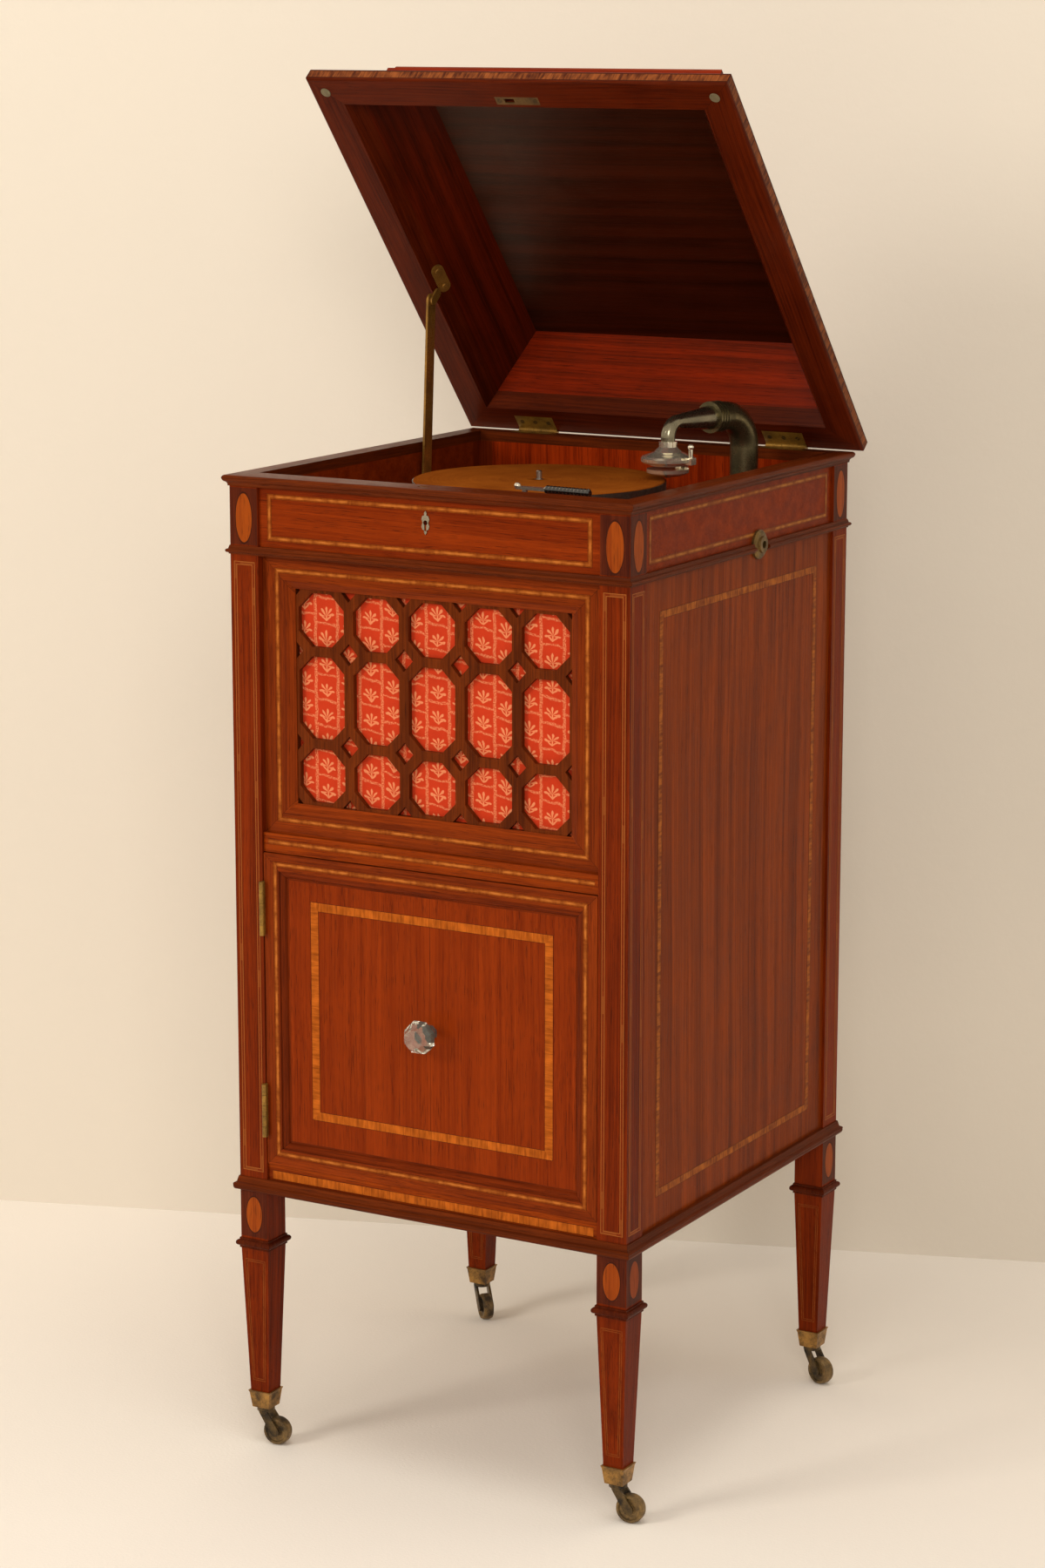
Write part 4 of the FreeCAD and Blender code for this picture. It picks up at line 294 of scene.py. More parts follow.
mitre.links.new(on_side, frame_out["Side"])
mitre.links.new(turned.outputs[1], frame_out["Vector"])
mitre.links.new(joined, frame_out["Joint"])

# closing carries a place on the open lid to where it is when the lid is shut.
lid_open = math.radians(49.5)
lid_axis = Vector((0.0, 0.2486497, 1.0385))
closing = Matrix.Translation(lid_axis) @ Matrix.Rotation(lid_open, 4, "X") @ Matrix.Translation(-lid_axis)
french_polish = {"Coat_Roughness": 0.15, "Specular_Tint": (1.0, 0.7, 0.4, 1.0)}
grain_depth = 0.00012


def mahogany(name, nodes, order, dark, light, ribbon=0.4, around=None, on_lid=False, matched=False,
             ends=None, other=None, coat=0.03, shine=0.05):
    """Polished mahogany for CAD nodes. order's last letter is the grain's axis. around is the
    middle and half size of a mitred frame in its first two axes, whose pieces each run their own way,
    and ends is the darker tone of its two side pieces, painted shade. Matched veneer opens like a
    book from a joint at x = 0. other is an axis, a place on it and the tone of the face beyond that
    place."""
    made, tree, shader = material(name, Coat_Weight=coat, Specular_IOR_Level=shine, **french_polish)
    at = place_of(tree)
    if on_lid:
        shut = {"Location": closing.to_translation(), "Rotation": (lid_open, 0.0, 0.0)}
        at = put(tree, "ShaderNodeMapping", {"Vector": at, **shut}).outputs[0]
    axes = put(tree, "ShaderNodeSeparateXYZ", {0: at}).outputs
    ordered = {k: axes["xyz".index(letter)] for k, letter in enumerate(order)}
    at = put(tree, "ShaderNodeCombineXYZ", ordered).outputs[0]
    extra, tones = {}, [tone(dark), tone(light)]
    if other:
        past = sums(tree, "GREATER_THAN", axes["xyz".index(other[0])], other[1])
        tones = [mixed(tree, past, own, tone(end)) for own, end in zip(tones, other[2:])]
    if matched:
        at = vectors(tree, "ABSOLUTE", at)
        off = put(tree, "ShaderNodeSeparateXYZ", {0: at}).outputs[0]
        extra["Joint"] = spread(tree, off, 0.0002, 0.0006, 0.5, 0.0)
    if around:
        middle, half = (*around[:2], 0.0), (*around[2:], 0.0)
        grain = use(tree, mitre, Vector=at, Middle=middle, Half=half)
        at, extra["Joint"] = grain["Vector"], grain["Joint"]
        # ends paints the frame's two side pieces darker: painted shade.
        if ends:
            tones = [mixed(tree, grain["Side"], own, tone(end)) for own, end in zip(tones, ends)]
    looks = use(tree, figure, Vector=at, Dark=tones[0], Light=tones[1], Ribbon=ribbon, **extra)
    finish(tree, shader, looks, grain_depth)
    for node in nodes:
        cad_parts[node].data.materials[0] = made


post_low, post_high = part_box("corner_posts")
case_y = (post_low.y + post_high.y) / 2
around_case = (0.0, case_y, post_high.x, post_high.y - case_y)
back_low, back_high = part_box("back_panel")
outside = ("y", (back_low.y + back_high.y) / 2, "481a08", "743010")
mahogany("post mahogany", ["corner_posts"], "xyz", "561804", "822c07", 0.35)
mahogany("side panel mahogany", ["side_panels"], "xyz", "5c2005", "8c3a0c", 0.5)
mahogany("frieze mahogany", ["frieze_boards"], "zyx", "671e04", "8a3108", 0.4)
mahogany("rail mahogany", ["front_rails"], "zyx", "662004", "9a3e0a", 0.3)
mahogany("moulding mahogany", ["rim_moulding", "mid_moulding", "base_moulding"], "xyz", "481a07", "6e2c0c",
         0.2, around_case)
mahogany("collar mahogany", ["leg_collars"], "xyz", "401306", "62250c", 0.2)
mahogany("board mahogany", ["motor_board"], "zyx", "5c1803", "8e3006", 0.6, coat=0.2)
mahogany("back mahogany", ["back_panel"], "xyz", "6c1a02", "a43408", 0.3, other=outside)
mahogany("inner mahogany", ["board_cleats", "record_dividers"], "xyz", "4c1c0c", "7c3818", 0.3)
mahogany("shelf mahogany", ["floor_boards"], "zyx", "4c1c0c", "7c3818", 0.3)


# Veneer inlay lies flush in the wood of the case: crossbanding of satinwood between fine dark
# lines, narrow feather bands, double stringing down the posts and legs, and ovals on the blocks.
banding, strip_in, strip_out = effect(
    "Crossband Veneer",
    [("Vector", "Vector", None), ("Edge", "Float", 0.1), ("Piece", "Float", 0.011),
     ("Light", "Color", (1, 1, 1, 1)), ("Dark", "Color", (0, 0, 0, 1)), ("Line", "Color", (0, 0, 0, 1)),
     ("Heart", "Color", (1, 1, 1, 1)), ("Core", "Float", 0.0)],
    [("Color", "Color"), ("Roughness", "Float"), ("Height", "Float")],
)
run, across = put(banding, "ShaderNodeSeparateXYZ", {0: strip_in["Vector"]}).outputs[:2]
pieces = sums(banding, "DIVIDE", run, strip_in["Piece"])
number = sums(banding, "FLOOR", pieces)
chance = put(banding, "ShaderNodeTexWhiteNoise", {"W": number}, noise_dimensions="1D").outputs[0]
stripes = noise(banding, strip_in["Vector"], (360.0, 0.6, 0.0), 2.0)
glow = noise(banding, strip_in["Vector"], (80.0, 0.6, 0.0), 1.0)
share = sums(banding, "MULTIPLY_ADD", spread(banding, stripes, 0.36, 0.64), 0.55,
             sums(banding, "MULTIPLY", chance, 0.15))
share = sums(banding, "MULTIPLY_ADD", spread(banding, glow, 0.38, 0.62), 0.4, share)
colour = mixed(banding, spread(banding, share, 0.1, 1.0), strip_in["Dark"], strip_in["Light"])
seam_share = 0.09
seam = sums(banding, "LESS_THAN", sums(banding, "FRACT", pieces), seam_share)
colour = mixed(banding, sums(banding, "MULTIPLY", seam, 0.3), colour, strip_in["Line"])
off = sums(banding, "MULTIPLY", sums(banding, "ABSOLUTE", sums(banding, "SUBTRACT", across, 0.5)), 2.0)
inner = sums(banding, "MULTIPLY", sums(banding, "LESS_THAN", off, strip_in["Core"]),
             spread(banding, glow, 0.35, 0.62, 0.15, 0.95))
colour = mixed(banding, inner, colour, strip_in["Heart"])
lined = sums(banding, "GREATER_THAN", off, sums(banding, "SUBTRACT", 1.0, strip_in["Edge"]))
banding.links.new(mixed(banding, lined, colour, strip_in["Line"]), strip_out["Color"])
banding.links.new(spread(banding, stripes, 0.3, 0.7, 0.28, 0.42), strip_out["Roughness"])
banding.links.new(stripes, strip_out["Height"])
inlay_depth = 0.00005


def uv_of(tree):
    """The piece's own UV map."""
    return tree.nodes.new("ShaderNodeTexCoord").outputs["UV"]


def veneer(name, edge, light, dark, line, piece=0.011, heart="ffffff", core=0.0):
    """A band of short veneers laid across its run, between two lines. core is the share of its
    width that a heart line takes."""
    made, tree, shader = material(name, Coat_Weight=0.03, Specular_IOR_Level=0.05, **french_polish)
    tones = {"Light": tone(light), "Dark": tone(dark), "Line": tone(line), "Heart": tone(heart)}
    looks = use(tree, banding, Vector=uv_of(tree), Edge=edge, Piece=piece, Core=core, **tones)
    finish(tree, shader, looks, inlay_depth)
    return made


crossband = veneer("satinwood crossband", 0.09, "be601a", "8e430e", "45150a")
feather = veneer("feather banding", 0.1, "8e4512", "72300a", "501806", 0.007, "b7682a", 0.4)
# The flanks' crossband and feather banding are darker, duller copies of the front's: painted shade for the
# sides of the case.
shaded_flank_crossband = veneer("flank crossband with painted shade", 0.09, "aa5e1e", "6c2e0e", "401408")
shaded_flank_feather = veneer("flank feather banding with painted shade", 0.1, "86421a", "6c2c0e", "4c1a0a", 0.007, "a4682c", 0.4)
stringing = veneer("double stringing", 0.36, "74290c", "66220a", "9a5826", 0.2)
proud, lower = 0.00015, 0.00008


def front(y):
    """Turns (across, up, out) on a front face into a place on the cabinet."""
    return lambda a, b, n: Vector((a, y - n, b))


def flank(x, side):
    """The same on a side face, with across measured along the depth from the case's middle."""
    return lambda a, b, n: Vector((side * (x + n), case_y + a * side, b))


def sunk(place):
    """The same face a hair lower, for veneer that lies round another piece."""
    return lambda a, b, n: place(a, b, n - lower)


class Inlay:
    """Gathers the strips let into one body of the cabinet and makes one object of them."""

    def __init__(self):
        self.points, self.faces, self.uvs, self.parts = [], [], [], []

    def piece(self, place, corners, uv, part):
        """One flat veneer from its corners, outer edge first, and its place along and across the band."""
        base = len(self.points)
        count = len(corners)
        self.points += [place(a, b, n) for n in (proud, -proud) for a, b in corners]
        self.faces.append(tuple(base + k for k in range(count)))
        self.uvs.append(uv)
        self.faces.append(tuple(base + count + k for k in reversed(range(count))))
        self.uvs.append(list(reversed(uv)))
        for k in range(count):
            m = (k + 1) % count
            self.faces.append((base + m, base + k, base + count + k, base + count + m))
            self.uvs.append([uv[m], uv[k], uv[k], uv[m]])
        self.parts += [part] * (count + 2)

    def border(self, place, left, right, low, high, width, part):
        """A mitred rectangle of banding, measured to its outer edge."""
        outer = [(left, low), (right, low), (right, high), (left, high)]
        west, east, south, north = left + width, right - width, low + width, high - width
        inner = [(west, south), (east, south), (east, north), (west, north)]
        for k in range(4):
            m = (k + 1) % 4
            length = math.dist(outer[k], outer[m])
            uv = [(0, 0), (length, 0), (length - width, 1), (width, 1)]
            self.piece(place, [outer[k], outer[m], inner[m], inner[k]], uv, part)

    def line(self, place, start, end, width, part):
        """A straight band, square at its ends."""
        along = (Vector(end) - Vector(start)).normalized() * width / 2
        side = Vector((-along.y, along.x))
        corners = [Vector(start) - side, Vector(end) - side, Vector(end) + side, Vector(start) + side]
        length = math.dist(start, end)
        self.piece(place, [tuple(c) for c in corners], [(0, 0), (length, 0), (length, 1), (0, 1)], part)

    def oval(self, place, a, b, half_w, half_h, part, steps=32):
        """An upright oval."""
        turns = [2 * math.pi * k / steps for k in range(steps)]
        corners = [(a + half_w * math.cos(t), b + half_h * math.sin(t)) for t in turns]
        uv = [(0.5 + 0.5 * math.cos(t), 0.5 + 0.5 * math.sin(t)) for t in turns]
        self.piece(place, corners, uv, part)

    def make(self, name, body, materials):
        """One object of all the strips, on the body that they are let into."""
        made = mesh(name, self.points, self.faces, materials, self.uvs, parts=self.parts)
        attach(made, body)


oval_wood, tree, shader = material("oval satinwood", Coat_Weight=0.05, Coat_Roughness=0.15,
                                   Specular_IOR_Level=0.06)
looks = use(tree, figure, Vector=place_of(tree), Dark=tone("7c3007"), Light=tone("9f480d"), Ribbon=0.5)
finish(tree, shader, looks, inlay_depth)
from_middle, dark_edge = {0: uv_of(tree), 1: (0.5, 0.5, 0.0)}, 0.46
ring = put(tree, "ShaderNodeVectorMath", from_middle, operation="DISTANCE").outputs["Value"]
edged = mixed(tree, sums(tree, "GREATER_THAN", ring, dark_edge), looks["Color"], tone("3a1508"))
tree.links.new(edged, shader.inputs["Base Color"])
block_wood, tree, shader = material("block veneer", Coat_Weight=0.04, Coat_Roughness=0.15,
                                    Specular_IOR_Level=0.06)
looks = use(tree, figure, Vector=place_of(tree), Dark=tone("3c1206"), Light=tone("60240c"), Ribbon=0.4)
finish(tree, shader, looks, inlay_depth)
leg_string = veneer("leg stringing", 0.0, "8c4a1e", "783612", "5a220c", 0.04)
# The inlay's woods, in the order in which each piece lists them.
CROSSBAND, FEATHER, STRINGING, OVAL, LEG_STRING, BLOCK, SHADED_FLANK_CROSSBAND, SHADED_FLANK_FEATHER = range(8)

case_inlay = Inlay()
band_w, line_w, cross_w, flank_cross_w = 0.0054, 0.0036, 0.0098, 0.0078
frieze_y, frieze_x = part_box("frieze_boards")[0].y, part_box("frieze_boards")[1].x
frieze_low, frieze_high, frieze_half, flank_frieze_half = 0.973, 1.021, 0.187, 0.201
case_inlay.border(front(frieze_y), -frieze_half, frieze_half, frieze_low, frieze_high, band_w, FEATHER)
grille_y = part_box("grille_frame")[0].y
grille_half, grille_low, grille_high = 0.182, 0.683, 0.9455
case_inlay.border(front(grille_y), -grille_half, grille_half, grille_low, grille_high, band_w, FEATHER)
rail_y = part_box("front_rails")[0].y
rail_half, divider_z, bottom_z = 0.191, 0.662, 0.305
for z, width, band in ((divider_z, band_w, FEATHER), (bottom_z, cross_w, CROSSBAND)):
    case_inlay.line(front(rail_y), (-rail_half, z), (rail_half, z), width, band)
panel_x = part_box("side_panels")[1].x
panel_half, panel_low, panel_high = 0.1775, 0.329, 0.925
post_w, line_inset, line_low, line_high = 0.0335, 0.006, 0.3065, 0.9505
block_half, oval_half = 0.0162, 0.0105
# Each block has its oval's middle and half height, and then its own foot and top.
head_block, foot_block = (0.995, 0.027, 0.9675, 1.0255), (0.258, 0.021, 0.2335, 0.2835)
for side in (-1, 1):
    frieze, panel, post = flank(frieze_x, side), flank(panel_x, side), flank(post_high.x, side)
    # Painted shade: the flanks take the darker copies of the bands.
    case_inlay.border(frieze, -flank_frieze_half, flank_frieze_half, frieze_low, frieze_high, band_w,
                      SHADED_FLANK_FEATHER)
    case_inlay.border(panel, -panel_half, panel_half, panel_low, panel_high, flank_cross_w,
                      SHADED_FLANK_CROSSBAND)
    post_faces = ((front(post_low.y), post_high.x, (side,)), (post, post_high.y - case_y, (-1, 1)))
    for place, edge, ends in post_faces:
        for end in ends:
            middle, half = end * (edge - post_w / 2), post_w / 2 - line_inset + line_w / 2
            case_inlay.border(place, middle - half, middle + half, line_low, line_high, line_w, STRINGING)
            for z, oval_h, low, high in (head_block, foot_block):
                left, right = middle - block_half, middle + block_half
                corners = [(left, low), (right, low), (right, high), (left, high)]
                case_inlay.piece(sunk(place), corners, [(0, 0), (1, 0), (1, 1), (0, 1)], BLOCK)
                case_inlay.oval(place, middle, z, oval_half, oval_h, OVAL)
leg_high, leg_low, foot_w = 0.212, 0.068, 0.0225
taper_foot_z, taper_h = 0.06, 0.16
leg_x, leg_y = post_high.x - post_w / 2, post_high.y - case_y - post_w / 2


def leg_half(z):
    """Half the width of the tapered leg at a height."""
    return (foot_w + (post_w - foot_w) * (z - taper_foot_z) / taper_h) / 2


def leg_front(end):
    """The same on the tapered front face of the legs at the case's front (-1) or back (1)."""
    y = case_y + end * leg_y
    return lambda a, b, n: Vector((a, y - leg_half(b) - n, b))


def leg_line(side, end, inset):
    """A fine line round a leg's front face, so far in from its edges."""
    low, high = leg_low + inset, leg_high - inset
    corners = [(side * leg_x + across * (leg_half(z) - inset), z)
               for across, z in ((-1, low), (1, low), (1, high), (-1, high))]
    for k in range(4):
        case_inlay.line(leg_front(end), corners[k], corners[(k + 1) % 4], leg_line_w, LEG_STRING)


leg_line_w, leg_insets = 0.0007, (0.0042, 0.0062)
for side in (-1, 1):
    for end in (-1, 1):
        for inset in leg_insets:
            leg_line(side, end, inset)
case_inlay.make("case_inlay", "case", [crossband, feather, stringing, oval_wood, leg_string, block_wood,
                                       shaded_flank_crossband, shaded_flank_feather])


# The grille is a mitred frame with a bevelled opening. A board fretted with octagons stands
# behind it, and red cotton with a woven sprig is stretched over the board's back.
def framed(name, node, order, **looks):
    """Mahogany for a mitred frame that lies in the front of the case."""
    low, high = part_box(node)
    middle, half = (low + high) / 2, (high - low) / 2
    mahogany(name, [node], order, around=(middle.x, middle.z, half.x, half.z), **looks)


framed("grille frame mahogany", "grille_frame", "xzy", dark="602006", light="90380c", ribbon=0.3)
mahogany("fretwork mahogany", ["grille_fretwork"], "xyz", "481a06", "74300c", 0.3)

sprigs, cloth_in, cloth_out = effect(
    "Sprig Weave",
    [("Vector", "Vector", None), ("Ground", "Color", (1, 0, 0, 1)), ("Figure", "Color", (1, 1, 1, 1)),
     ("Cell", "Float", 0.025), ("Thread", "Float", 0.0007)],
    [("Color", "Color"), ("Roughness", "Float"), ("Height", "Float")],
)
# The sprigs stand in columns between the bars of a net, and every other column is shifted. Places
# on a sprig are shares of one cell, from its middle.
column_drop, bar_tilt, row_wander = 0.37, 0.12, 0.3
petal_turns, bloom_rise, leaf_drop, stem_drop = 8.4, 0.16, 0.34, 0.26
wander = noise(sprigs, cloth_in["Vector"], (70.0, 70.0, 0.0), 2.0)
ragged = noise(sprigs, cloth_in["Vector"], (800.0, 800.0, 0.0), 3.0, 0.6)
u, v = put(sprigs, "ShaderNodeSeparateXYZ", {0: cloth_in["Vector"]}).outputs[:2]
column = sums(sprigs, "DIVIDE", u, cloth_in["Cell"])
every_other = sums(sprigs, "MODULO", sums(sprigs, "FLOOR", column), 2.0)
shift = sums(sprigs, "MULTIPLY", every_other, column_drop)
tilt = sums(sprigs, "MULTIPLY", sums(sprigs, "FRACT", column), bar_tilt)
row = sums(sprigs, "ADD", sums(sprigs, "DIVIDE", v, cloth_in["Cell"]), sums(sprigs, "ADD", shift, tilt))
row = sums(sprigs, "MULTIPLY_ADD", wander, row_wander, row)
sway = noise(sprigs, cloth_in["Vector"], (0.0, 90.0, 0.0), 1.0)
swayed = sums(sprigs, "MULTIPLY_ADD", sway, 0.12, 0.44)
cell_x = sums(sprigs, "SUBTRACT", sums(sprigs, "FRACT", column), swayed)
cell_y = sums(sprigs, "SUBTRACT", sums(sprigs, "FRACT", row), 0.5)
aside = sums(sprigs, "ABSOLUTE", cell_x)
bar_x = spread(sprigs, aside, 0.42, 0.45)
bar_y = spread(sprigs, sums(sprigs, "ABSOLUTE", cell_y), 0.44, 0.47)
net = sums(sprigs, "MULTIPLY", sums(sprigs, "MAXIMUM", bar_x, bar_y), spread(sprigs, ragged, 0.42, 0.56))
rise = sums(sprigs, "ADD", cell_y, bloom_rise)
square = sums(sprigs, "MULTIPLY_ADD", cell_x, cell_x, sums(sprigs, "MULTIPLY", rise, rise))
radius = sums(sprigs, "SQRT", square)
angle = sums(sprigs, "ARCTAN2", cell_x, rise)
petals = sums(sprigs, "COSINE", sums(sprigs, "MULTIPLY", angle, petal_turns))
bloom = spread(sprigs, sums(sprigs, "MULTIPLY_ADD", petals, -0.07, radius), 0.27, 0.3, 1.0, 0.0)
frayed = spread(sprigs, sums(sprigs, "MULTIPLY_ADD", ragged, 1.6, petals), 0.45, 0.95)
bloom = sums(sprigs, "MULTIPLY", bloom, frayed)
fan = spread(sprigs, sums(sprigs, "ABSOLUTE", angle), 1.6, 1.8, 1.0, 0.0)
bloom = sums(sprigs, "MULTIPLY", bloom, fan)
low_y = sums(sprigs, "ADD", cell_y, leaf_drop)
leaf = sums(sprigs, "ABSOLUTE", sums(sprigs, "SUBTRACT", low_y, sums(sprigs, "MULTIPLY", aside, 0.8)))
leaf = sums(sprigs, "MULTIPLY", spread(sprigs, leaf, 0.03, 0.05, 1.0, 0.0),
            spread(sprigs, aside, 0.2, 0.23, 1.0, 0.0))
below = sums(sprigs, "ABSOLUTE", sums(sprigs, "ADD", cell_y, stem_drop))
stem = sums(sprigs, "MULTIPLY", spread(sprigs, aside, 0.02, 0.035, 1.0, 0.0),
            spread(sprigs, below, 0.1, 0.12, 1.0, 0.0))
mark = sums(sprigs, "MAXIMUM", sums(sprigs, "MAXIMUM", net, bloom), sums(sprigs, "MAXIMUM", leaf, stem))
threads = [sums(sprigs, "DIVIDE", way, cloth_in["Thread"]) for way in (u, v)]
warp, weft = [sums(sprigs, "SINE", sums(sprigs, "MULTIPLY", one, 2 * math.pi)) for one in threads]
weave = sums(sprigs, "MULTIPLY_ADD", sums(sprigs, "MULTIPLY", warp, weft), 0.5, 0.5)
ground = mixed(sprigs, spread(sprigs, wander, 0.3, 0.7, 0.0, 0.25), cloth_in["Ground"], tone("a82a10"))
colour = mixed(sprigs, sums(sprigs, "MULTIPLY", mark, 0.75), ground, cloth_in["Figure"])
colour = mixed(sprigs, sums(sprigs, "MULTIPLY", weave, 0.16), colour, tone("7c1d14"))
sprigs.links.new(colour, cloth_out["Color"])
sprigs.links.new(spread(sprigs, mark, 0.0, 1.0, 0.85, 0.6), cloth_out["Roughness"])
sprigs.links.new(sums(sprigs, "MULTIPLY_ADD", mark, 0.6, weave), cloth_out["Height"])

cloth_low, cloth_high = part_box("grille_cloth")
cotton, tree, shader = material("sprigged cotton", Sheen_Weight=0.03, Specular_IOR_Level=0.1)
sprig_cell, weave_depth = 0.0262, 0.0002
looks = use(tree, sprigs, Vector=uv_of(tree), Ground=tone("cc3b1a"), Figure=tone("f09a68"), Cell=sprig_cell)
finish(tree, shader, looks, weave_depth)
columns, rows = 84, 60
cloth_w, cloth_h = cloth_high.x - cloth_low.x, cloth_high.z - cloth_low.z
cloth_y, slack = (cloth_low.y + cloth_high.y) / 2, 0.00025
points, faces, uvs = [], [], []
# The cloth is drawn tight at its edges, and ripples by a hair between them.
for j in range(rows + 1):
    for i in range(columns + 1):
        s, t = i / columns, j / rows
        pull = math.sin(math.pi * s) * math.sin(math.pi * t)
        ripple = math.sin(9.0 * s + 2.0 * math.sin(5.0 * t)) * math.sin(4.0 * t + 1.3)
        points.append((cloth_low.x + cloth_w * s, cloth_y + slack * ripple * pull, cloth_low.z + cloth_h * t))
for j in range(rows):
    for i in range(columns):
        a = j * (columns + 1) + i
        corners = ((i, j), (i + 1, j), (i + 1, j + 1), (i, j + 1))
        faces.append((a, a + 1, a + columns + 2, a + columns + 1))
        uvs.append([(cloth_w * p / columns, cloth_h * q / rows) for p, q in corners])
cloth = mesh("grille_fabric", points, faces, [cotton], uvs, smooth=True, outward=False)
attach(cloth, "case")
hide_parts("grille_cloth")


# The spring motor hangs under the motor board. Its frame is painted iron, and its gears, shafts
# and drum and the platter on its spindle are steel. The horn is black japanned sheet iron.
worn, metal_in, metal_out = effect(
    "Worn Metal",
    [("Vector", "Vector", None), ("Clean", "Color", (1, 1, 1, 1)), ("Aged", "Color", (0, 0, 0, 1)),
     ("Age", "Float", 0.5), ("Polish", "Float", 0.2)],
    [("Color", "Color"), ("Roughness", "Float"), ("Height", "Float")],
)
clouds = noise(worn, metal_in["Vector"], (70.0, 70.0, 70.0), 4.0, 0.6)
spots = noise(worn, metal_in["Vector"], (900.0, 900.0, 900.0), 2.0)
scratch = noise(worn, metal_in["Vector"], (160.0, 2600.0, 2600.0), 2.0)
specked = sums(worn, "MULTIPLY_ADD", spread(worn, spots, 0.5, 0.7), 0.35, spread(worn, clouds, 0.35, 0.65))
stain = sums(worn, "MULTIPLY", specked, metal_in["Age"])
colour = mixed(worn, spread(worn, stain, 0.0, 1.0), metal_in["Clean"], metal_in["Aged"])
rough = sums(worn, "MULTIPLY_ADD", spread(worn, scratch, 0.45, 0.65), 0.08, metal_in["Polish"])
relief = sums(worn, "MULTIPLY_ADD", scratch, 0.25, sums(worn, "MULTIPLY", clouds, 0.75))
worn.links.new(colour, metal_out["Color"])
worn.links.new(sums(worn, "MULTIPLY_ADD", stain, 0.22, rough), metal_out["Roughness"])
worn.links.new(relief, metal_out["Height"])


cast_depth, worn_depth = 0.0002, 0.00006


def metal(name, nodes, clean, aged, age, polish, depth=worn_depth, **constants):
    """Worn metal or paint for CAD nodes."""
    constants.setdefault("Metallic", 1.0)
    made, tree, shader = material(name, **constants)
    looks = use(tree, worn, Vector=place_of(tree), Clean=tone(clean), Aged=tone(aged), Age=age, Polish=polish)
    finish(tree, shader, looks, depth)
    for node in nodes:
        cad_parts[node].data.materials[0] = made
    return made


metal("painted iron", ["motor_frame"], "2b2d2b", "4a4238", 0.5, 0.45, cast_depth, Metallic=0.0,
      Coat_Weight=0.3)
metal("bright steel", ["spindle", "spring_arbor", "winding_shaft", "governor"], "b9b6b0", "6d675e", 0.5, 0.25)
metal("drum steel", ["spring_barrel"], "8f8c86", "57524a", 0.6, 0.35)
metal("japanned iron", ["horn"], "121111", "2c2825", 0.4, 0.25, cast_depth, Metallic=0.0,
      Coat_Weight=0.6, Coat_Roughness=0.15)
metal("platter metal", ["platter"], "7d7972", "3d3833", 0.6, 0.3)


# The turntable's felt is a tan disc of pressed wool, glued on the platter's top. It is a little
# fuzzy, with a rounded edge and a hole for the spindle, and is rubbed paler in rings.
nap, felt_in, felt_out = effect(
    "Wool Nap",
    [("Vector", "Vector", None), ("Middle", "Vector", (0, 0, 0)), ("Light", "Color", (1, 1, 1, 1)),
     ("Dark", "Color", (0, 0, 0, 1))],
    [("Color", "Color"), ("Roughness", "Float"), ("Height", "Float")],
)
fibres = noise(nap, felt_in["Vector"], (1700.0, 1700.0, 1700.0), 3.0, 0.7)
patches = noise(nap, felt_in["Vector"], (24.0, 24.0, 24.0), 3.0)
to_middle = {0: felt_in["Vector"], 1: felt_in["Middle"]}
reach = put(nap, "ShaderNodeVectorMath", to_middle, operation="DISTANCE").outputs["Value"]
rings = noise(nap, put(nap, "ShaderNodeCombineXYZ", {0: reach}).outputs[0], (260.0, 0.0, 0.0), 2.0)
share = sums(nap, "MULTIPLY_ADD", spread(nap, fibres, 0.3, 0.7), 0.45,
             sums(nap, "MULTIPLY", spread(nap, patches, 0.3, 0.7), 0.4))
share = sums(nap, "MULTIPLY_ADD", spread(nap, rings, 0.3, 0.7), 0.25, share)
nap.links.new(mixed(nap, spread(nap, share, 0.1, 1.0), felt_in["Dark"], felt_in["Light"]), felt_out["Color"])
nap.links.new(spread(nap, fibres, 0.3, 0.7, 0.85, 1.0), felt_out["Roughness"])
nap.links.new(fibres, felt_out["Height"])

felt_low, felt_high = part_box("platter_felt")
felt_middle = (felt_low + felt_high) / 2
felt_r, hole_r, nap_depth = (felt_high.y - felt_low.y) / 2, 0.0052, 0.0004
felt_h, edge_steps, flat_steps, turns = felt_high.z - felt_low.z, 4, 12, 128
worn_share, wave_share, wave_turn = 0.9, 0.08, 2.4
wool, tree, shader = material("tan felt", Specular_IOR_Level=0.0)
looks = use(tree, nap, Vector=place_of(tree), Middle=tuple(felt_middle), Light=tone("9c5418"),
            Dark=tone("70330d"))
finish(tree, shader, looks, nap_depth)
profile = [(hole_r, 0.0), (hole_r, felt_h * worn_share)]
for k in range(1, flat_steps + 1):
    out = hole_r + (felt_r - felt_h - hole_r) * k / flat_steps
    profile.append((out, felt_h * (worn_share + wave_share * math.sin(k * wave_turn))))
for k in range(1, edge_steps + 1):
    lean = math.pi / 2 * k / edge_steps
    profile.append((felt_r - felt_h + felt_h * math.sin(lean), felt_h * worn_share * math.cos(lean)))
round_felt = [(math.cos(2 * math.pi * k / turns), math.sin(2 * math.pi * k / turns)) for k in range(turns)]
points = [(felt_middle.x + r * x, felt_middle.y + r * y, felt_low.z + h)
          for r, h in profile for x, y in round_felt]
faces = []
for i in range(len(profile)):
    here, there = i * turns, (i + 1) % len(profile) * turns
    for k in range(turns):
        m = (k + 1) % turns
        faces.append((here + k, here + m, there + m, there + k))
felt = mesh("turntable_felt", points, faces, [wool], smooth=True)
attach(felt, "turntable")
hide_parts("platter_felt")


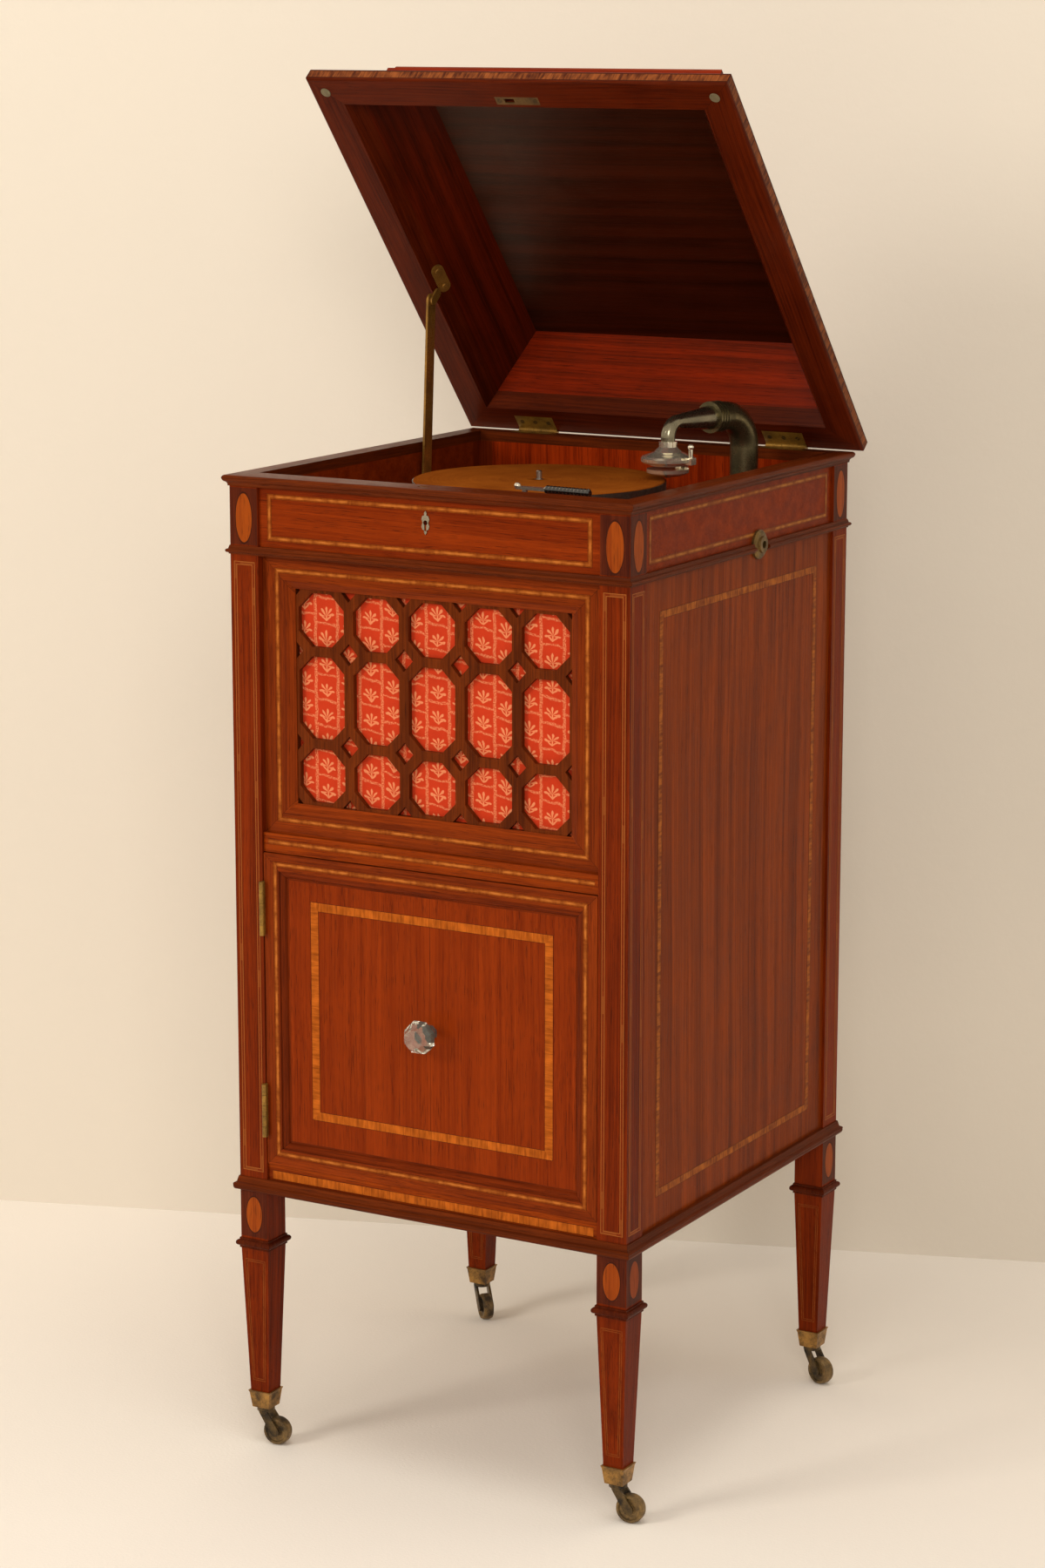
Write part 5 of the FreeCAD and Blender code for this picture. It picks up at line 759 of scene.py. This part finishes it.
# The tone arm is a dark bronzed neck with a ringed collar that carries a bent nickel tube, a
# round sound box and its weight. The start lever beside the turntable has a ribbed black handle,
# and the lock's keyhole has a small nickel plate.
plated_depth = 0.00001
metal("dark bronze", ["gooseneck"], "7c7252", "3a3424", 0.6, 0.2, 2 * plated_depth, Metallic=0.85)
metal("worn nickel", ["sound_box", "sound_weight"], "f6eed8", "aca48e", 0.25, 0.1, plated_depth,
      Metallic=0.88)
metal("tube nickel", ["arm_tube"], "8f8873", "5c5646", 0.5, 0.16, plated_depth, Metallic=0.95)
metal("lever nickel", ["start_lever"], "ece4d2", "9c917c", 0.3, 0.12, plated_depth, Metallic=0.9)
metal("plate nickel", ["keyhole_escutcheon"], "b9b09c", "6f644f", 0.5, 0.25)
metal("black handle", ["lever_handle"], "0b0a09", "1c1916", 0.4, 0.12, Metallic=0.0, Coat_Weight=1.0,
      Coat_Roughness=0.05)


# Brass fittings: butt hinges for the lid and door, the lid's stay with its bracket and guide,
# the lock and its strike, two buttons under the lid, the crank's bush, and cupped casters. Brass
# has gone brown in the hollows, and the casters are the darkest.
fittings = ["rim_hinges", "lid_hinge_leaves", "post_hinges", "door_hinge_leaves", "lock_case", "lock_bolt",
            "stay_guide"]
metal("aged brass", fittings, "a47a30", "5a4018", 0.7, 0.28, Metallic=0.55)
metal("strike brass", ["lock_strike"], "6c5028", "3a2812", 0.7, 0.3, Metallic=0.55)
metal("stay brass", ["lid_stay", "stay_bracket"], "a87a34", "62441a", 0.6, 0.22, Metallic=0.55)
metal("crank bronze", ["crank_escutcheon"], "7d6234", "3c2d16", 0.7, 0.25, Metallic=0.7)
metal("button brass", ["lid_bumpers"], "857a5c", "554a34", 0.6, 0.45, Metallic=0.4)
turned_depth = 0.00012
forks = [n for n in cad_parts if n.startswith("caster_fork")]
wheels = [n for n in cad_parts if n.startswith("caster_wheel")]
metal("cup brass", ["caster_cups"], "ac7e3c", "4c361c", 1.0, 0.32, turned_depth, Metallic=0.5)
metal("caster bronze", forks, "6e5630", "221b14", 1.0, 0.3, turned_depth, Metallic=0.5)
metal("wheel brass", wheels, "8c6e40", "3a2e20", 1.0, 0.4, cast_depth, Metallic=0.4)


# Countersunk brass screws hold the lid's hinges, the lock's strike and the stay's guide. Each head
# is a turned disc with a slot sawn across it, left at whatever angle the screw came home.
head_h, head_shown, slot_reach = 0.0012, 0.00015, 2.4
heads = bpy.data.node_groups.new("Slotted Heads", "GeometryNodeTree")
sizes = (("Head Radius", "Float", 0.0026), ("Head Height", "Float", head_h), ("Slot Width", "Float", 0.0008),
         ("Slot Depth", "Float", 0.0005), ("Seed", "Int", 7), ("Metal", "Material", None))
heads.interface.new_socket("Places", in_out="INPUT", socket_type="NodeSocketGeometry")
for label, kind, value in sizes:
    socket = heads.interface.new_socket(label, in_out="INPUT", socket_type="NodeSocket" + kind)
    if value is not None:
        socket.default_value = value
heads.interface.new_socket("Heads", in_out="OUTPUT", socket_type="NodeSocketGeometry")
given = heads.nodes.new("NodeGroupInput").outputs
turned_head = {"Vertices": 24, "Radius": given["Head Radius"], "Depth": given["Head Height"]}
disc = put(heads, "GeometryNodeMeshCylinder", turned_head)
cut = {0: sums(heads, "MULTIPLY", given["Head Radius"], slot_reach), 1: given["Slot Width"],
       2: sums(heads, "MULTIPLY", given["Slot Depth"], 2.0)}
slot = put(heads, "GeometryNodeMeshCube", {"Size": put(heads, "ShaderNodeCombineXYZ", cut).outputs[0]})
top = put(heads, "ShaderNodeCombineXYZ", {2: sums(heads, "MULTIPLY", given["Head Height"], 0.5)})
slot = put(heads, "GeometryNodeTransform", {"Geometry": slot.outputs["Mesh"], "Translation": top.outputs[0]})
head = put(heads, "GeometryNodeMeshBoolean", {"Mesh 1": disc.outputs["Mesh"]}, operation="DIFFERENCE")
heads.links.new(slot.outputs["Geometry"], head.inputs["Mesh 2"])
facing = put(heads, "GeometryNodeInputNamedAttribute", {"Name": "facing"}, data_type="FLOAT_VECTOR")
aimed = put(heads, "FunctionNodeAlignRotationToVector", {"Vector": facing.outputs["Attribute"]}, axis="Z")
chance = put(heads, "FunctionNodeRandomValue", {"Seed": given["Seed"]})
half_turns = sums(heads, "MULTIPLY", chance.outputs[1], math.pi)
turn = put(heads, "FunctionNodeAxisAngleToRotation", {"Angle": half_turns})
both = {"Rotation": aimed.outputs[0], "Rotate By": turn.outputs[0]}
home = put(heads, "FunctionNodeRotateRotation", both, rotation_space="LOCAL")
driven_in = {"Points": given["Places"], "Instance": head.outputs["Mesh"], "Rotation": home.outputs[0]}
driven = put(heads, "GeometryNodeInstanceOnPoints", driven_in)
real = put(heads, "GeometryNodeRealizeInstances", {"Geometry": driven.outputs[0]})
brassy = put(heads, "GeometryNodeSetMaterial", {"Geometry": real.outputs[0], "Material": given["Metal"]})
heads.links.new(brassy.outputs[0], heads.nodes.new("NodeGroupOutput").inputs["Heads"])


def screws(name, spots, facing, body, **sizes):
    """Slotted screw heads at the spots, all facing one way."""
    data = bpy.data.meshes.new(name + " places")
    data.from_pydata([tuple(spot) for spot in spots], [], [])
    way = data.attributes.new("facing", "FLOAT_VECTOR", "POINT")
    for one in way.data:
        one.vector = facing
    holder = bpy.data.objects.new(name + " places", data)
    bpy.context.scene.collection.objects.link(holder)
    modifier = holder.modifiers.new("heads", "NODES")
    modifier.node_group = heads
    for item in heads.interface.items_tree:
        if item.in_out == "INPUT" and item.name in sizes:
            modifier[item.identifier] = sizes[item.name]
    holder.update_tag()
    shape = bpy.data.meshes.new_from_object(holder.evaluated_get(bpy.context.evaluated_depsgraph_get()))
    holder.modifiers.clear()
    bpy.data.objects.remove(holder)
    made = bpy.data.objects.new(name, shape)
    bpy.context.scene.collection.objects.link(made)
    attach(made, body)


screw_brass = metal("screw brass", [], "5a4422", "2c1f0e", 0.7, 0.3, Metallic=0.6)
sunk_in, rim_z, lid_foot_z = head_h / 2 - head_shown, 1.038, 1.039
screw_y, leaf_x, leaf_step = lid_axis.y - 0.0125, 0.153, 0.0165
strike_x, strike_y = 0.0205, -0.23695
leaf_spots = [(side * leaf_x + step, screw_y) for side in (-1, 1) for step in (-leaf_step, 0.0, leaf_step)]
strike_spots = [(side * strike_x, strike_y) for side in (-1, 1)]
upwards = (0.0, 0.0, 1.0)
rim_spots = [(x, y, rim_z - sunk_in) for x, y in leaf_spots]
screws("rim_hinge_screws", rim_spots, upwards, "case", Metal=screw_brass)
opening = closing.inverted()
down = opening.to_3x3() @ Vector((0.0, 0.0, -1.0))
lid_spots = [opening @ Vector((x, y, lid_foot_z + sunk_in)) for x, y in leaf_spots + strike_spots]
screws("lid_screws", lid_spots, down, "lid", Metal=screw_brass, Seed=3)
guide_low, guide_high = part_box("stay_guide")
guide_x, guide_step = guide_high.x - 0.0042, 0.012
guide_ends = (guide_low.y + guide_step, guide_high.y - guide_step)
guide_spots = [(guide_x, y, guide_high.z - sunk_in) for y in guide_ends]
guide_head = {"Metal": screw_brass, "Head Radius": 0.002, "Seed": 11}
screws("guide_screws", guide_spots, upwards, "case", **guide_head)


# The lid is a mitred frame with crossbanding round its edge, four splayed and hollowed sides and
# a flat top. Its inside is polished, and its deep red-brown is partly painted shade: the frame is
# darker than the case, the two side pieces of its sides darker than the back, and the top darkest
# below a lighter outer face. It stands open on its hinges.
lid_out = 0.0123
around_lid = (0.0, case_y, post_high.x + lid_out, post_high.y + lid_out - case_y)
heights = [(closing @ corner.co).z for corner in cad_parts["lid_top"].data.vertices]
upper_side = ("z", (min(heights) + max(heights)) / 2, "521604", "822a08")
# The frame's dark tone is painted shade, and it covers the frame's front edge too.
mahogany("shaded lid frame mahogany", ["lid_frame"], "xyz", "3a0e03", "601f07", 0.3, around_lid, on_lid=True)
# The two side pieces get the darker tone in ends, which is painted shade. The back gets the lighter one.
mahogany("lid side mahogany with shaded side pieces", ["lid_sides"], "xyz", "541303", "882204", 0.5, around_lid, on_lid=True,
         ends=("340c02", "5c1804"))
# The top's dark tone is painted shade for its underside. upper_side gives its outer face a lighter tone.
mahogany("lid top mahogany shaded below", ["lid_top"], "zyx", "1d0601", "360f03", 0.6, on_lid=True, other=upper_side,
         coat=0.05, shine=0.2)
# The inlay of the lid's two sides lies a hair deeper than that of its front.
side_back = 0.00011


def lid_edge(side_x, side_y):
    """The same on an edge of the closed lid, at its front or at one side, carried to where it stands."""
    x, y = around_lid[2], around_lid[3]
    if side_y:
        return lambda a, b, n: opening @ Vector((a, case_y + side_y * (y + n), b))
    return lambda a, b, n: opening @ Vector((side_x * (x + n - side_back), case_y + a, b))


lid_inlay = Inlay()
lid_band = veneer("lid crossband", 0.1, "8c4a20", "421608", "301006")
edge_z, short = 1.047, 0.0008
front_reach, side_reach = around_lid[2] - short, around_lid[3] - short
lid_inlay.line(lid_edge(0, -1), (-front_reach, edge_z), (front_reach, edge_z), cross_w, CROSSBAND)
for side in (-1, 1):
    lid_inlay.line(lid_edge(side, 0), (-side_reach, edge_z), (side_reach, edge_z), cross_w, CROSSBAND)
lid_inlay.make("lid_inlay", "lid", [lid_band])


# The door is a flat veneered panel, matched down its middle, in a mitred frame with a small
# moulding. It is inlaid like the case and has a facetted knob of clear glass.
framed("door frame mahogany", "door_frame", "xzy", dark="602006", light="90380c", ribbon=0.3)
framed("door moulding mahogany", "door_moulding", "xzy", dark="541a05", light="802e08", ribbon=0.2)
mahogany("door panel mahogany", ["door_panel"], "xyz", "722405", "8f3409", 0.4, matched=True)
door_inlay = Inlay()
door_half, door_low, door_high = 0.1845, 0.327, 0.642
field_half, field_low, field_high = 0.1428, 0.3707, 0.6033
frame_y, field_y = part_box("door_frame")[0].y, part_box("door_panel")[0].y
door_inlay.border(front(frame_y), -door_half, door_half, door_low, door_high, band_w, FEATHER)
door_inlay.border(front(field_y), -field_half, field_half, field_low, field_high, cross_w, CROSSBAND)
door_inlay.make("door_inlay", "door", [crossband, feather])

glassy, glass_in, glass_out = effect(
    "Handled Glass",
    [("Vector", "Vector", None)],
    [("Color", "Color"), ("Roughness", "Float"), ("Height", "Float")],
)
smear = noise(glassy, glass_in["Vector"], (90.0, 90.0, 90.0), 3.0)
tint = mixed(glassy, spread(glassy, smear, 0.3, 0.7), tone("fffef2"), tone("e6e4d0"))
glassy.links.new(tint, glass_out["Color"])
glassy.links.new(spread(glassy, smear, 0.3, 0.8, 0.01, 0.06), glass_out["Roughness"])
glassy.links.new(smear, glass_out["Height"])
glass, tree, shader = material("clear glass", Transmission_Weight=0.92, IOR=1.52)
smear_depth = 0.0006
finish(tree, shader, use(tree, glassy, Vector=place_of(tree)), smear_depth)
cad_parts["door_knob"].data.materials[0] = glass
